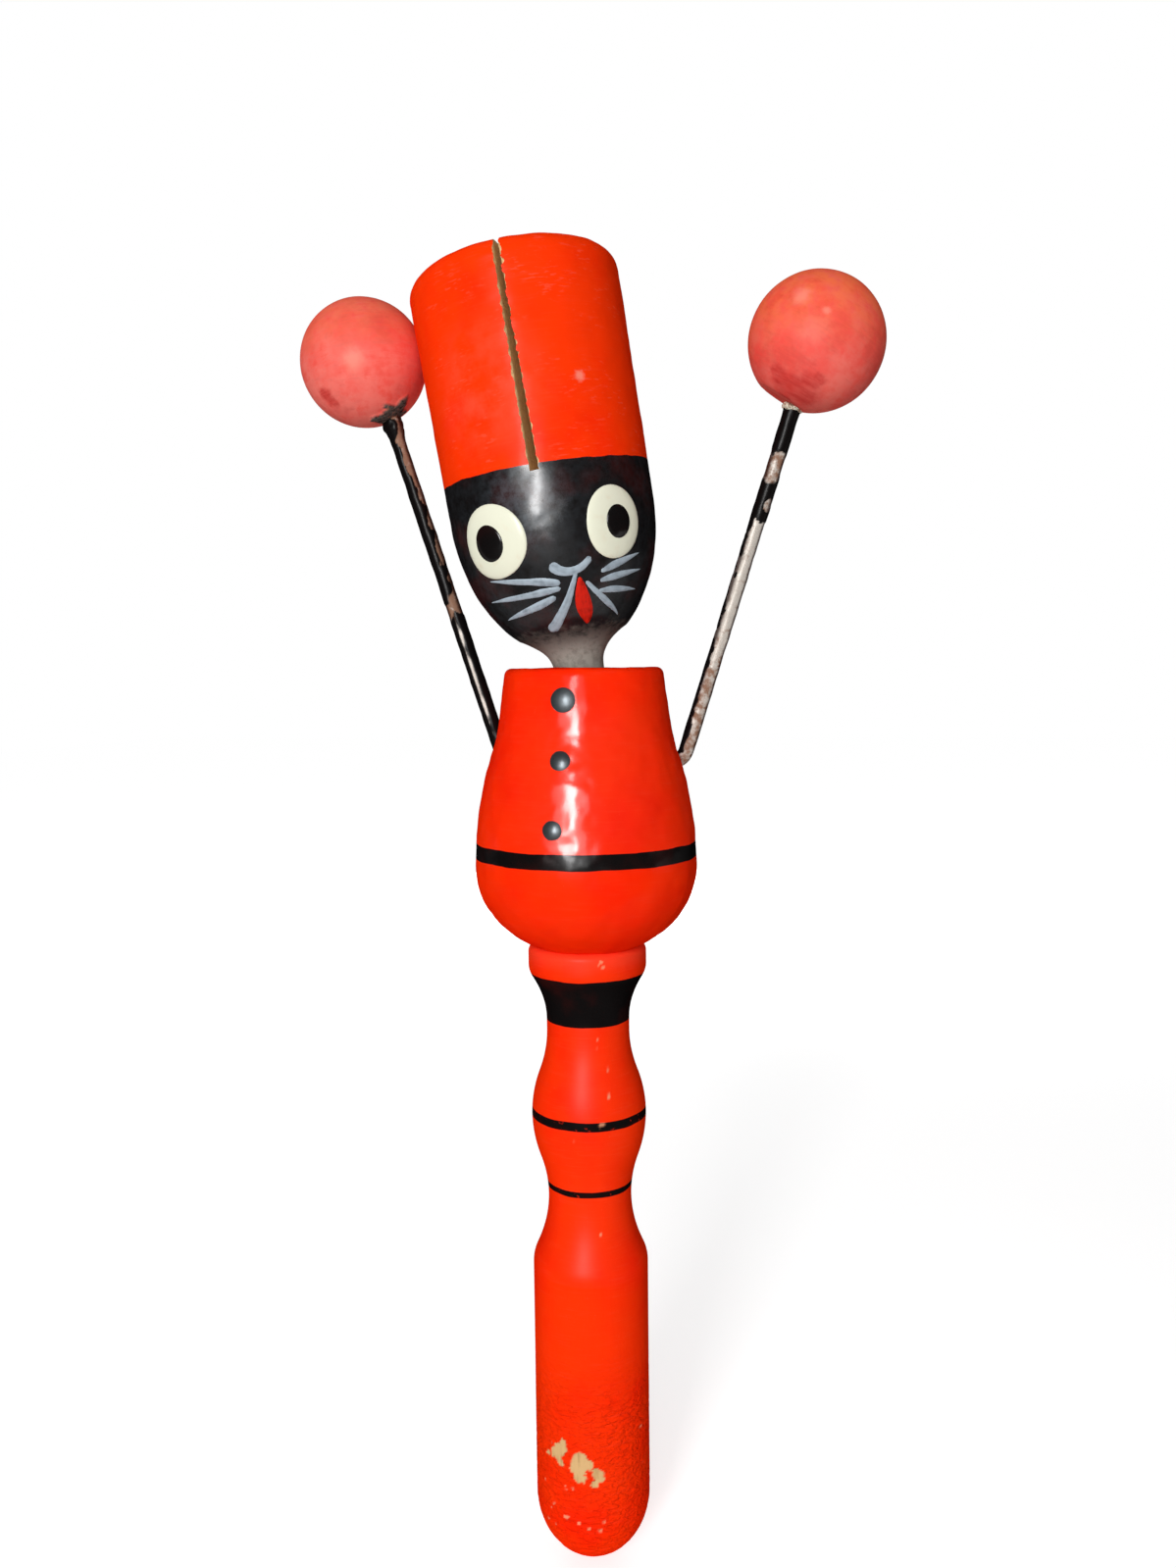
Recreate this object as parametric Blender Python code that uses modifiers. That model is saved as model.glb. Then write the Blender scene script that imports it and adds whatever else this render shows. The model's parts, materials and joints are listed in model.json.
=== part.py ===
"""Wooden clacker noisemaker: a turned cat figure whose pinned head rocks between two balls on wire arms.

Lengths are in metres and +Z is up. The origin is the middle of the hand grip, on the handle's axis, and the
figure faces -Y. The head is modelled where it comes to rest, leaning on the left ball.
"""

import math

import bmesh
import bpy
from mathutils import Vector

MM = 0.001

# Handle, from the round end up to the tenon in the torso
GRIP_RADIUS = 10.5 * MM
GRIP_LENGTH = 43.9 * MM
END_DOME_HEIGHT = 12.1 * MM
LOWER_COVE_RADIUS = 7.55 * MM
LOWER_COVE_HEIGHT = 12.6 * MM
RING_RADIUS = 10.35 * MM
RING_LOWER_SLOPE = 15.4 * MM
RING_UPPER_SLOPE = 15.3 * MM
UPPER_COVE_RADIUS = 7.45 * MM
UPPER_COVE_FLAT = 2.0 * MM
UPPER_COVE_HEIGHT = 10.2 * MM
COLLAR_RADIUS = 10.6 * MM
COLLAR_HEIGHT = 2.7 * MM
TENON_RADIUS = 5.0 * MM
TENON_LENGTH = 11.0 * MM

# Torso, from its foot on the collar up to the rim
FOOT_RADIUS = 10.2 * MM
BELLY_RADIUS = 19.7 * MM
BELLY_RISE = 14.6 * MM
CHEST_HEIGHT = 31.6 * MM
RIM_RADIUS = 14.6 * MM
RIM_ROUND = 3.5 * MM

# Head, measured from the pivot along its own axis
PIVOT_BELOW_RIM = 5.3 * MM
NECK_RADIUS = 4.4 * MM
NECK_DEPTH = 6.5 * MM
FACE_RADIUS = 17.9 * MM
FACE_HEIGHT = 25.2 * MM
BROW_RISE = 33.0 * MM
HAT_LINE_RISE = 39.8 * MM
HAT_RADIUS = 18.3 * MM
HAT_RISE = 75.1 * MM
HAT_EDGE_ROUND = 2.6 * MM
KERF_WIDTH = 0.9 * MM
KERF_DEPTH = 38.0 * MM
KERF_TURN = math.radians(8.0)

# Pivot nail and the two tacks that make the lower buttons
NAIL_SHANK_RADIUS = 0.95 * MM
NAIL_HEAD_RADIUS = 2.2 * MM
NAIL_HEAD_HEIGHT = 0.7 * MM
NAIL_BITE = 3.5 * MM
TACK_SHANK_RADIUS = 0.7 * MM
TACK_HEAD_RADIUS = 1.85 * MM
TACK_HEAD_HEIGHT = 0.6 * MM
TACK_LENGTH = 9.0 * MM
HEAD_SINK = 0.25 * MM
POINT_LENGTH = 2.0 * MM
MIDDLE_BUTTON_DROP = 10.0 * MM
LOWER_BUTTON_DROP = 21.3 * MM
MIDDLE_BUTTON_SHIFT = -0.1 * MM
LOWER_BUTTON_SHIFT = -1.0 * MM

# Wire arms and balls
WIRE_RADIUS = 1.35 * MM
ARM_FLOOR = 1.9 * MM
ARM_SETBACK = 4.5 * MM
ELBOW_STANDOFF = 0.7 * MM
ELBOW_BEND_RADIUS = 2.9 * MM
BALL_RADIUS = 11.25 * MM
BALL_REACH = 40.2 * MM
LEFT_BALL_RISE = 60.6 * MM
RIGHT_BALL_RISE = 58.3 * MM
BALL_HOLE_PAST_CENTRE = 1.5 * MM
HOLE_INBOARD = 1.2 * MM

# Clearances
SEAT_GAP = 0.3 * MM
PIN_CLEARANCE = 0.3 * MM
NECK_CLEARANCE = 0.5 * MM
WIRE_CLEARANCE = 0.5 * MM
CUT_MARGIN = 2.0 * MM

# Curve resolution
TURN_STEPS = 48
NAIL_STEPS = 16
CURVE_STEPS = 8
ELBOW_STEPS = 6
WIRE_BEVEL_RESOLUTION = 4
BALL_SEGMENTS = 40
BALL_RINGS = 20
WELD = 0.00001
SHARP_ANGLE = math.radians(35.0)

# Plain colours, each with its roughness and how far it is metal
RED_ENAMEL = ((0.60, 0.035, 0.012), 0.35, 0.0)
BLACK_ENAMEL = ((0.012, 0.012, 0.014), 0.3, 0.0)
FADED_PINK = ((0.66, 0.13, 0.10), 0.5, 0.0)
NAIL_GREY = ((0.10, 0.10, 0.11), 0.35, 0.3)
WIRE_BLACK = ((0.05, 0.05, 0.05), 0.45, 0.6)

# Where an S-curve turns from hollow to round, as a share of its height from the waist
EARLY_TURN = 0.35
EVEN_TURN = 0.5
LATE_TURN = 0.78

# Heights worked out from the sizes above
GRIP_TOP = GRIP_LENGTH / 2
GRIP_BOTTOM = -GRIP_LENGTH / 2
LOWER_WAIST = GRIP_TOP + LOWER_COVE_HEIGHT
RING_CREST = LOWER_WAIST + RING_LOWER_SLOPE
UPPER_WAIST = RING_CREST + RING_UPPER_SLOPE
UPPER_WAIST_TOP = UPPER_WAIST + UPPER_COVE_FLAT
COLLAR_BOTTOM = UPPER_WAIST_TOP + UPPER_COVE_HEIGHT
COLLAR_TOP = COLLAR_BOTTOM + COLLAR_HEIGHT
TORSO_FOOT = COLLAR_TOP + SEAT_GAP
BELLY = TORSO_FOOT + BELLY_RISE
CHEST_TOP = BELLY + CHEST_HEIGHT
RIM = CHEST_TOP + RIM_ROUND
PIVOT = Vector((0.0, 0.0, RIM - PIVOT_BELOW_RIM))


def ogee(waist, crest, turn, share):
    """Point (radius, height) at a share of the way along the S-curve from a waist to a crest."""
    if share < turn:
        swell = share ** 2 / turn
    else:
        swell = 1 - (1 - share) ** 2 / (1 - turn)
    return (waist[0] + (crest[0] - waist[0]) * swell, waist[1] + (crest[1] - waist[1]) * share)


def ogee_to_waist(waist, crest, turn):
    """Points of an ogee from just past its crest to its waist."""
    return [ogee(waist, crest, turn, 1 - step / CURVE_STEPS) for step in range(1, CURVE_STEPS + 1)]


def ogee_to_crest(waist, crest, turn):
    """Points of an ogee from just past its waist to its crest."""
    return [ogee(waist, crest, turn, step / CURVE_STEPS) for step in range(1, CURVE_STEPS + 1)]


def arc(centre, across, up, start, end):
    """Points on an ellipse around centre from one angle to another, counted from outwards towards up."""
    angles = [start + (end - start) * step / CURVE_STEPS for step in range(CURVE_STEPS + 1)]
    return [(centre[0] + across * math.cos(a), centre[1] + up * math.sin(a)) for a in angles]


def torso_radius(height):
    """Radius of the torso's side between the belly and the top of the chest."""
    share = (CHEST_TOP - height) / CHEST_HEIGHT
    return ogee((RIM_RADIUS, CHEST_TOP), (BELLY_RADIUS, BELLY), EARLY_TURN, share)[0]


def lean_onto(ball_rise):
    """Angle from upright at which the hat meets a ball at a height above the pivot."""
    contact = HAT_RADIUS + BALL_RADIUS + SEAT_GAP
    return math.atan2(BALL_REACH, ball_rise) - math.asin(contact / math.hypot(BALL_REACH, ball_rise))


# The head rests on the left ball, and the neck's bore clears the tenon at the larger of its two leans
LEAN = lean_onto(LEFT_BALL_RISE)
LARGER_LEAN = max(LEAN, lean_onto(RIGHT_BALL_RISE))
NECK_SWEEP_AT_RIM = PIVOT_BELOW_RIM * math.tan(LARGER_LEAN) + NECK_RADIUS / math.cos(LARGER_LEAN)
NECK_SWEEP_AT_FOOT = NECK_DEPTH * math.sin(LARGER_LEAN) + NECK_RADIUS * math.cos(LARGER_LEAN)
BORE_RADIUS = max(NECK_SWEEP_AT_RIM, NECK_SWEEP_AT_FOOT) + NECK_CLEARANCE
TENON_CORNER = NECK_DEPTH * math.cos(LARGER_LEAN) + NECK_RADIUS * math.sin(LARGER_LEAN)
BORE_FLOOR = PIVOT.z - TENON_CORNER - NECK_CLEARANCE
ARM_HEIGHT = BORE_FLOOR - ARM_FLOOR - WIRE_CLEARANCE - WIRE_RADIUS
ELBOW_REACH = math.sqrt(torso_radius(ARM_HEIGHT) ** 2 - ARM_SETBACK ** 2) + ELBOW_STANDOFF


def arm(side, ball_rise):
    """Elbow's corner, ball's centre, a point level with it on the wire, and the way up the wire.

    The side is -1 on the left and 1 on the right.
    """
    elbow = Vector((side * ELBOW_REACH, ARM_SETBACK, ARM_HEIGHT))
    ball = PIVOT + Vector((side * BALL_REACH, 0.0, ball_rise))
    aim = ball - Vector((side * HOLE_INBOARD, 0.0, 0.0))
    return elbow, ball, aim, (aim - elbow).normalized()


LEFT_ARM = arm(-1, LEFT_BALL_RISE)
RIGHT_ARM = arm(1, RIGHT_BALL_RISE)


def new_collection(name):
    """Collection under the scene's own."""
    collection = bpy.data.collections.new(name)
    bpy.context.scene.collection.children.link(collection)
    return collection


def paint(name, finish):
    """Principled material of one plain finish."""
    colour, roughness, metallic = finish
    material = bpy.data.materials.new(name)
    material.use_nodes = True
    shader = material.node_tree.nodes["Principled BSDF"]
    shader.inputs["Base Color"].default_value = (*colour, 1.0)
    shader.inputs["Roughness"].default_value = roughness
    shader.inputs["Metallic"].default_value = metallic
    return material


def place(data, name, collection, location=(0, 0, 0), rotation=(0, 0, 0), parent=None):
    """Object of some data, in a collection."""
    item = bpy.data.objects.new(name, data)
    item.location = location
    item.rotation_euler = rotation
    item.parent = parent
    collection.objects.link(item)
    return item


def turned(name, profile, steps, collection, **where):
    """Solid of revolution about its own Z, from a (radius, height) profile down its outer side."""
    mesh = bpy.data.meshes.new(name)
    vertices = [(radius, 0.0, height) for radius, height in profile]
    mesh.from_pydata(vertices, [(i, i + 1) for i in range(len(profile) - 1)], [])
    item = place(mesh, name, collection, **where)
    screw = item.modifiers.new("turn", "SCREW")
    screw.axis = "Z"
    screw.steps = steps
    screw.render_steps = steps
    screw.use_merge_vertices = True
    screw.merge_threshold = WELD
    return item


def as_cutter(item):
    """Marks an object as a cutter, which is not part of the toy."""
    item.hide_render = True
    item.display_type = "WIRE"
    return item


def cut(item, *cutters):
    """Takes each cutter's shape out of an object."""
    for cutter in cutters:
        boolean = item.modifiers.new(cutter.name, "BOOLEAN")
        boolean.operation = "DIFFERENCE"
        boolean.solver = "EXACT"
        boolean.object = cutter


def settle(item, *materials):
    """Makes an object's modifiers its own mesh, smooth where it is round, in its materials."""
    bpy.context.view_layer.update()
    evaluated = item.evaluated_get(bpy.context.evaluated_depsgraph_get())
    mesh = bpy.data.meshes.new_from_object(evaluated)
    mesh.name = item.name
    item.modifiers.clear()
    item.data = mesh
    mesh.shade_smooth()
    mesh.set_sharp_from_angle(angle=SHARP_ANGLE)
    mesh.materials.clear()
    for material in materials:
        mesh.materials.append(material)
    return item


def rod(name, radius, low, high, collection, **where):
    """Closed cylinder along its own Z between two heights."""
    profile = [(0.0, high), (radius, high), (radius, low), (0.0, low)]
    return turned(name, profile, NAIL_STEPS, collection, **where)


def nail_profile(head_radius, head_height, shank_radius, length, grow=0.0):
    """Profile of a domed nail whose head sits on height 0, with every face moved out by grow."""
    dome = arc((0.0, -grow), head_radius + grow, head_height + 2 * grow, math.pi / 2, 0.0)
    shank = shank_radius + grow
    return dome + [(shank, -grow), (shank, POINT_LENGTH - length), (0.0, -length - grow)]


def make_handle(parts):
    """Handle: round end, grip, cove, ring, cove, collar and tenon, in one turning."""
    waist_low = (LOWER_COVE_RADIUS, LOWER_WAIST)
    waist_high = (UPPER_COVE_RADIUS, UPPER_WAIST)
    crest = (RING_RADIUS, RING_CREST)
    collar = (COLLAR_RADIUS, COLLAR_BOTTOM)
    profile = [(0.0, COLLAR_TOP + TENON_LENGTH), (TENON_RADIUS, COLLAR_TOP + TENON_LENGTH)]
    profile += [(TENON_RADIUS, COLLAR_TOP), (COLLAR_RADIUS, COLLAR_TOP), collar]
    profile += ogee_to_waist((UPPER_COVE_RADIUS, UPPER_WAIST_TOP), collar, LATE_TURN)
    profile += [waist_high]
    profile += ogee_to_crest(waist_high, crest, EVEN_TURN)
    profile += ogee_to_waist(waist_low, crest, EVEN_TURN)
    profile += ogee_to_crest(waist_low, (GRIP_RADIUS, GRIP_TOP), LATE_TURN)
    profile += arc((0.0, GRIP_BOTTOM), GRIP_RADIUS, END_DOME_HEIGHT, 0.0, -math.pi / 2)
    return turned("handle", profile, TURN_STEPS, parts)


def make_torso(parts):
    """Torso: bell-shaped turning, bored from above for the neck and from below for the handle's tenon."""
    socket = TENON_RADIUS + SEAT_GAP
    socket_top = COLLAR_TOP + TENON_LENGTH + SEAT_GAP
    foot_angle = math.acos(FOOT_RADIUS / BELLY_RADIUS)
    underside = BELLY_RISE / math.sin(foot_angle)
    chest = (RIM_RADIUS, CHEST_TOP)
    profile = [(0.0, BORE_FLOOR), (BORE_RADIUS, BORE_FLOOR), (BORE_RADIUS, RIM)]
    profile += arc((RIM_RADIUS - RIM_ROUND, CHEST_TOP), RIM_ROUND, RIM_ROUND, math.pi / 2, 0.0)
    profile += ogee_to_crest(chest, (BELLY_RADIUS, BELLY), EARLY_TURN)
    profile += arc((0.0, BELLY), BELLY_RADIUS, underside, 0.0, -foot_angle)[1:]
    profile += [(socket, TORSO_FOOT), (socket, socket_top), (0.0, socket_top)]
    return turned("torso", profile, TURN_STEPS, parts)


def make_head(parts):
    """Head: hat, cat's face, neck and tenon in one turning, with its origin on the pivot."""
    chin_angle = math.acos(NECK_RADIUS / FACE_RADIUS)
    round_start = HAT_RISE - HAT_EDGE_ROUND
    hat_line_share = (HAT_LINE_RISE - BROW_RISE) / (round_start - BROW_RISE)
    hat_line_radius = FACE_RADIUS + (HAT_RADIUS - FACE_RADIUS) * hat_line_share
    edge = (HAT_RADIUS - HAT_EDGE_ROUND, round_start)
    profile = [(0.0, HAT_RISE)]
    profile += arc(edge, HAT_EDGE_ROUND, HAT_EDGE_ROUND, math.pi / 2, 0.0)
    profile += [(hat_line_radius, HAT_LINE_RISE)]
    profile += arc((0.0, BROW_RISE), FACE_RADIUS, FACE_HEIGHT, 0.0, -chin_angle)
    profile += [(NECK_RADIUS, -NECK_DEPTH), (0.0, -NECK_DEPTH)]
    return turned("head", profile, TURN_STEPS, parts, location=PIVOT, rotation=(0.0, -LEAN, 0.0))


def make_kerf(cutters, head):
    """Saw cut from front to back, down through the hat into the top of the face."""
    mesh = bpy.data.meshes.new("kerf_cutter")
    shape = bmesh.new()
    height = KERF_DEPTH + CUT_MARGIN
    bmesh.ops.create_cube(shape, size=1.0)
    bmesh.ops.scale(shape, verts=shape.verts, vec=(KERF_WIDTH, 2 * (HAT_RADIUS + CUT_MARGIN), height))
    bmesh.ops.translate(shape, verts=shape.verts, vec=(0.0, 0.0, HAT_RISE - KERF_DEPTH + height / 2))
    shape.to_mesh(mesh)
    shape.free()
    return as_cutter(place(mesh, "kerf_cutter", cutters, rotation=(0.0, 0.0, KERF_TURN), parent=head))


def make_nail(name, head_radius, head_height, shank_radius, length, shift, height, parts, cutters):
    """Domed nail driven in from the front, and the cutter for its hole and the seat of its head."""
    front = math.sqrt(torso_radius(height) ** 2 - shift ** 2)
    where = dict(location=(shift, HEAD_SINK - front, height), rotation=(math.pi / 2, 0.0, 0.0))
    sizes = (head_radius, head_height, shank_radius, length)
    nail = turned(name, nail_profile(*sizes), NAIL_STEPS, parts, **where)
    hole = turned(name + "_hole", nail_profile(*sizes, grow=SEAT_GAP), NAIL_STEPS, cutters, **where)
    return nail, as_cutter(hole)


def bend(corner, before, after, radius):
    """Points round a corner on an arc that touches the line along before and the line along after."""
    turn = before.angle(after)
    inwards = (after - before * before.dot(after)).normalized()
    start = corner - before * radius * math.tan(turn / 2)
    angles = [turn * step / ELBOW_STEPS for step in range(ELBOW_STEPS + 1)]
    return [start + radius * (before * math.sin(a) + inwards * (1 - math.cos(a))) for a in angles]


def make_arm_wire(parts):
    """Wire: down from the left ball, through the torso between two elbows, and up to the right ball."""
    route = []
    for side, (elbow, _, aim, direction) in ((-1, LEFT_ARM), (1, RIGHT_ARM)):
        outwards = Vector((side, 0.0, 0.0))
        half = bend(elbow, outwards, direction, ELBOW_BEND_RADIUS)
        half.append(aim + direction * (BALL_HOLE_PAST_CENTRE - SEAT_GAP))
        route += half[::side]
    curve = bpy.data.curves.new("arm_wire", "CURVE")
    curve.dimensions = "3D"
    curve.bevel_depth = WIRE_RADIUS
    curve.bevel_resolution = WIRE_BEVEL_RESOLUTION
    curve.use_fill_caps = True
    spline = curve.splines.new("POLY")
    spline.points.add(len(route) - 1)
    for point, position in zip(spline.points, route):
        point.co = (*position, 1.0)
    return place(curve, "arm_wire", parts)


def make_ball(name, centre, aim, direction, parts, cutters):
    """Wooden ball with a hole drilled in along the arm."""
    mesh = bpy.data.meshes.new(name)
    shape = bmesh.new()
    bmesh.ops.create_uvsphere(shape, u_segments=BALL_SEGMENTS, v_segments=BALL_RINGS, radius=BALL_RADIUS)
    shape.to_mesh(mesh)
    shape.free()
    along_arm = direction.to_track_quat("Z", "Y").to_euler()
    ball = place(mesh, name, parts, location=centre, rotation=along_arm)
    hole = rod(name + "_drill", WIRE_RADIUS + SEAT_GAP, -BALL_RADIUS - CUT_MARGIN, BALL_HOLE_PAST_CENTRE,
               cutters, location=aim, rotation=along_arm)
    cut(ball, as_cutter(hole))
    return ball


def main():
    """Builds the toy."""
    for old in list(bpy.data.objects):
        bpy.data.objects.remove(old)
    parts = new_collection("clacker_noisemaker")
    cutters = new_collection("cutters")

    handle = make_handle(parts)
    settle(handle, paint("handle_red", RED_ENAMEL))

    torso = make_torso(parts)
    nail_length = torso_radius(PIVOT.z) - HEAD_SINK + BORE_RADIUS + NAIL_BITE
    nail_sizes = (NAIL_HEAD_RADIUS, NAIL_HEAD_HEIGHT, NAIL_SHANK_RADIUS, nail_length)
    tack_sizes = (TACK_HEAD_RADIUS, TACK_HEAD_HEIGHT, TACK_SHANK_RADIUS, TACK_LENGTH)
    buttons = (
        ("pivot_nail", nail_sizes, 0.0, 0.0),
        ("button_tack_middle", tack_sizes, MIDDLE_BUTTON_SHIFT, MIDDLE_BUTTON_DROP),
        ("button_tack_lower", tack_sizes, LOWER_BUTTON_SHIFT, LOWER_BUTTON_DROP),
    )
    for name, sizes, shift, drop in buttons:
        nail, hole = make_nail(name, *sizes, shift, PIVOT.z - drop, parts, cutters)
        settle(nail, paint(name + "_paint", NAIL_GREY))
        cut(torso, hole)
    arm_span = ELBOW_REACH + CUT_MARGIN
    arm_hole = rod("arm_hole", WIRE_RADIUS + WIRE_CLEARANCE, -arm_span, arm_span, cutters,
                   location=(0.0, ARM_SETBACK, ARM_HEIGHT), rotation=(0.0, math.pi / 2, 0.0))
    cut(torso, as_cutter(arm_hole))
    settle(torso, paint("torso_red", RED_ENAMEL))

    head = make_head(parts)
    pin_reach = NECK_RADIUS + CUT_MARGIN
    pin_hole = rod("pin_hole", NAIL_SHANK_RADIUS + PIN_CLEARANCE, -pin_reach, pin_reach, cutters,
                   rotation=(math.pi / 2, 0.0, 0.0), parent=head)
    cut(head, make_kerf(cutters, head), as_cutter(pin_hole))
    settle(head, paint("hat_red", RED_ENAMEL), paint("face_black", BLACK_ENAMEL))
    for face in head.data.polygons:
        face.material_index = int(face.center.z < HAT_LINE_RISE)

    wire = make_arm_wire(parts)
    wire.data.materials.append(paint("wire_black", WIRE_BLACK))

    for name, (_, *hang) in (("ball_left", LEFT_ARM), ("ball_right", RIGHT_ARM)):
        ball = make_ball(name, *hang, parts, cutters)
        settle(ball, paint(name + "_pink", FADED_PINK))


main()
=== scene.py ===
"""Looks of the wooden clacker noisemaker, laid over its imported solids.

The turned pieces, the balls, the nails and the wire are made again as fine meshes in the places of their
solids, so that chips, wrinkles and flaked paint are real shape. The painted face is raised enamel on the
head. The frame is that of the solids: +Z up the handle, -Y the front, the origin in the middle of the grip.
"""

import json
import math
from typing import NamedTuple

import bpy
import numpy as np
from bpy.props import FloatProperty, FloatVectorProperty, PointerProperty
from mathutils import Matrix, Vector, noise


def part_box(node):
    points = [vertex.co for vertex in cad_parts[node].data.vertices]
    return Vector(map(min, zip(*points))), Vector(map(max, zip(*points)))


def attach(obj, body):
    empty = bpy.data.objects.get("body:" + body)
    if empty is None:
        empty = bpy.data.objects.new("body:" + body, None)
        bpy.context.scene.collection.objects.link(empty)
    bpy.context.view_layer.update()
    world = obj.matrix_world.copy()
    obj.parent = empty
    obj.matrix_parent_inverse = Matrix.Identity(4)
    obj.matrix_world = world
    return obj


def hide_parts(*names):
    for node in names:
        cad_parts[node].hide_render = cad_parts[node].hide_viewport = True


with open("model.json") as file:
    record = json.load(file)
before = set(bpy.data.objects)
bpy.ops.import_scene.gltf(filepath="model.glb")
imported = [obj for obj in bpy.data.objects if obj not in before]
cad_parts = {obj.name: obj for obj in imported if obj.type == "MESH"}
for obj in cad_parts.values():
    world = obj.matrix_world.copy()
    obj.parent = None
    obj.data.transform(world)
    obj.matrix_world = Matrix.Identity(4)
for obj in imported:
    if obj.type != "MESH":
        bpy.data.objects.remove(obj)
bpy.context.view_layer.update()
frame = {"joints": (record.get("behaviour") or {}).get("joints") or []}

FIGURE = "figure"
HEAD = "rocking_head"
MM = 0.001


def millimetres(values):
    """Numbers of millimetres, in metres."""
    return tuple(value * MM for value in values)


bl_info = {
    "name": "Wooden clacker noisemaker",
    "version": (1, 0, 0),
    "blender": (4, 5, 0),
    "location": "3D View > Sidebar > Clacker",
    "description": "Paints, wears and lights a turned wooden clacker",
    "category": "Object",
}

# Sizes of the handle and torso, in millimetres: those of the solids, but with a taller and rounder collar
GRIP_RADIUS = 10.5
GRIP_TOP = 21.95
END_DOME = 12.1
LOWER_WAIST = (7.55, 34.55)
RING_CREST = (10.35, 49.95)
UPPER_WAIST = (7.45, 65.25)
UPPER_WAIST_TOP = (7.45, 67.25)
COLLAR = (10.6, 77.45)
COLLAR_TOP = 81.05
COLLAR_EDGE = 1.3
TORSO_FOOT = (9.9, 81.10)
BELLY = (19.7, 95.05)
CHEST_TOP = (14.6, 126.65)
SHOULDER_FOOT = 121.5
SHOULDER = (14.05, 128.85)
RIM_ROUND = 1.3
BORE_RADIUS = 5.93
BORE_FLOOR = 117.2

# Share of an S-curve's height at which it turns from hollow to round
EARLY_TURN = 0.35
EVEN_TURN = 0.5
LATE_TURN = 0.78

# Places in the solids, in metres, and how far the head leans
PIVOT = Vector(frame["joints"][0]["pos_m"])
HEAD_LEAN = math.radians(9.3245)
BALL_RADIUS = 11.25 * MM
BALLS = {"left": Vector((-40.2, 0.0, 185.45)) * MM, "right": Vector((40.2, 0.0, 183.15)) * MM}
ELBOWS = {"left": Vector((-16.4, 4.5, 113.45)) * MM, "right": Vector((16.9, 4.5, 113.45)) * MM}
WIRE_ENDS = {"left": Vector((-38.6, 0.0, 185.45)) * MM, "right": Vector((39.6, 0.0, 183.15)) * MM}

# How meshes are spaced out, in millimetres along a piece, in columns round it and in rings of an enamel drop,
# and the turn of the surface that makes an edge sharp
FINE = 0.3
MEDIUM = 0.5
COARSE = 0.8
BODY_COLUMNS = 220
HEAD_COLUMNS = 180
BALL_COLUMNS = 110
SMALL_COLUMNS = 48
DROP_RINGS = 10
SHARP_ANGLE = math.radians(42.0)

# Ripples in the pieces' surfaces, as height and size in millimetres and how many finer ones ride on them
TORSO_RIPPLE = (0.16, 4.8, 3)
HEAD_RIPPLE = (0.09, 5.0, 3)
BUTTON_RIPPLE = (0.015, 1.5, 2)
GLUE_RIPPLE = (0.25, 1.2, 2)


def colour_property(name, description, default):
    """Colour that a user can change."""
    return FloatVectorProperty(name=name, description=description, default=default, subtype="COLOR",
                               min=0.0, max=1.0)


def length_property(name, description, default):
    """Length that a user can change."""
    return FloatProperty(name=name, description=description, default=default, unit="LENGTH", precision=5)


def angle_property(name, description, default):
    """Angle that a user can change, given in degrees."""
    return FloatProperty(name=name, description=description, default=math.radians(default), subtype="ANGLE")


def share_property(name, description, default):
    """Share from 0 to 1 that a user can change."""
    return FloatProperty(name=name, description=description, default=default, min=0.0, max=1.0,
                         subtype="FACTOR")


def power_property(name, description, default):
    """Power of a lamp that a user can change."""
    return FloatProperty(name=name, description=description, default=default, unit="POWER")


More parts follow.
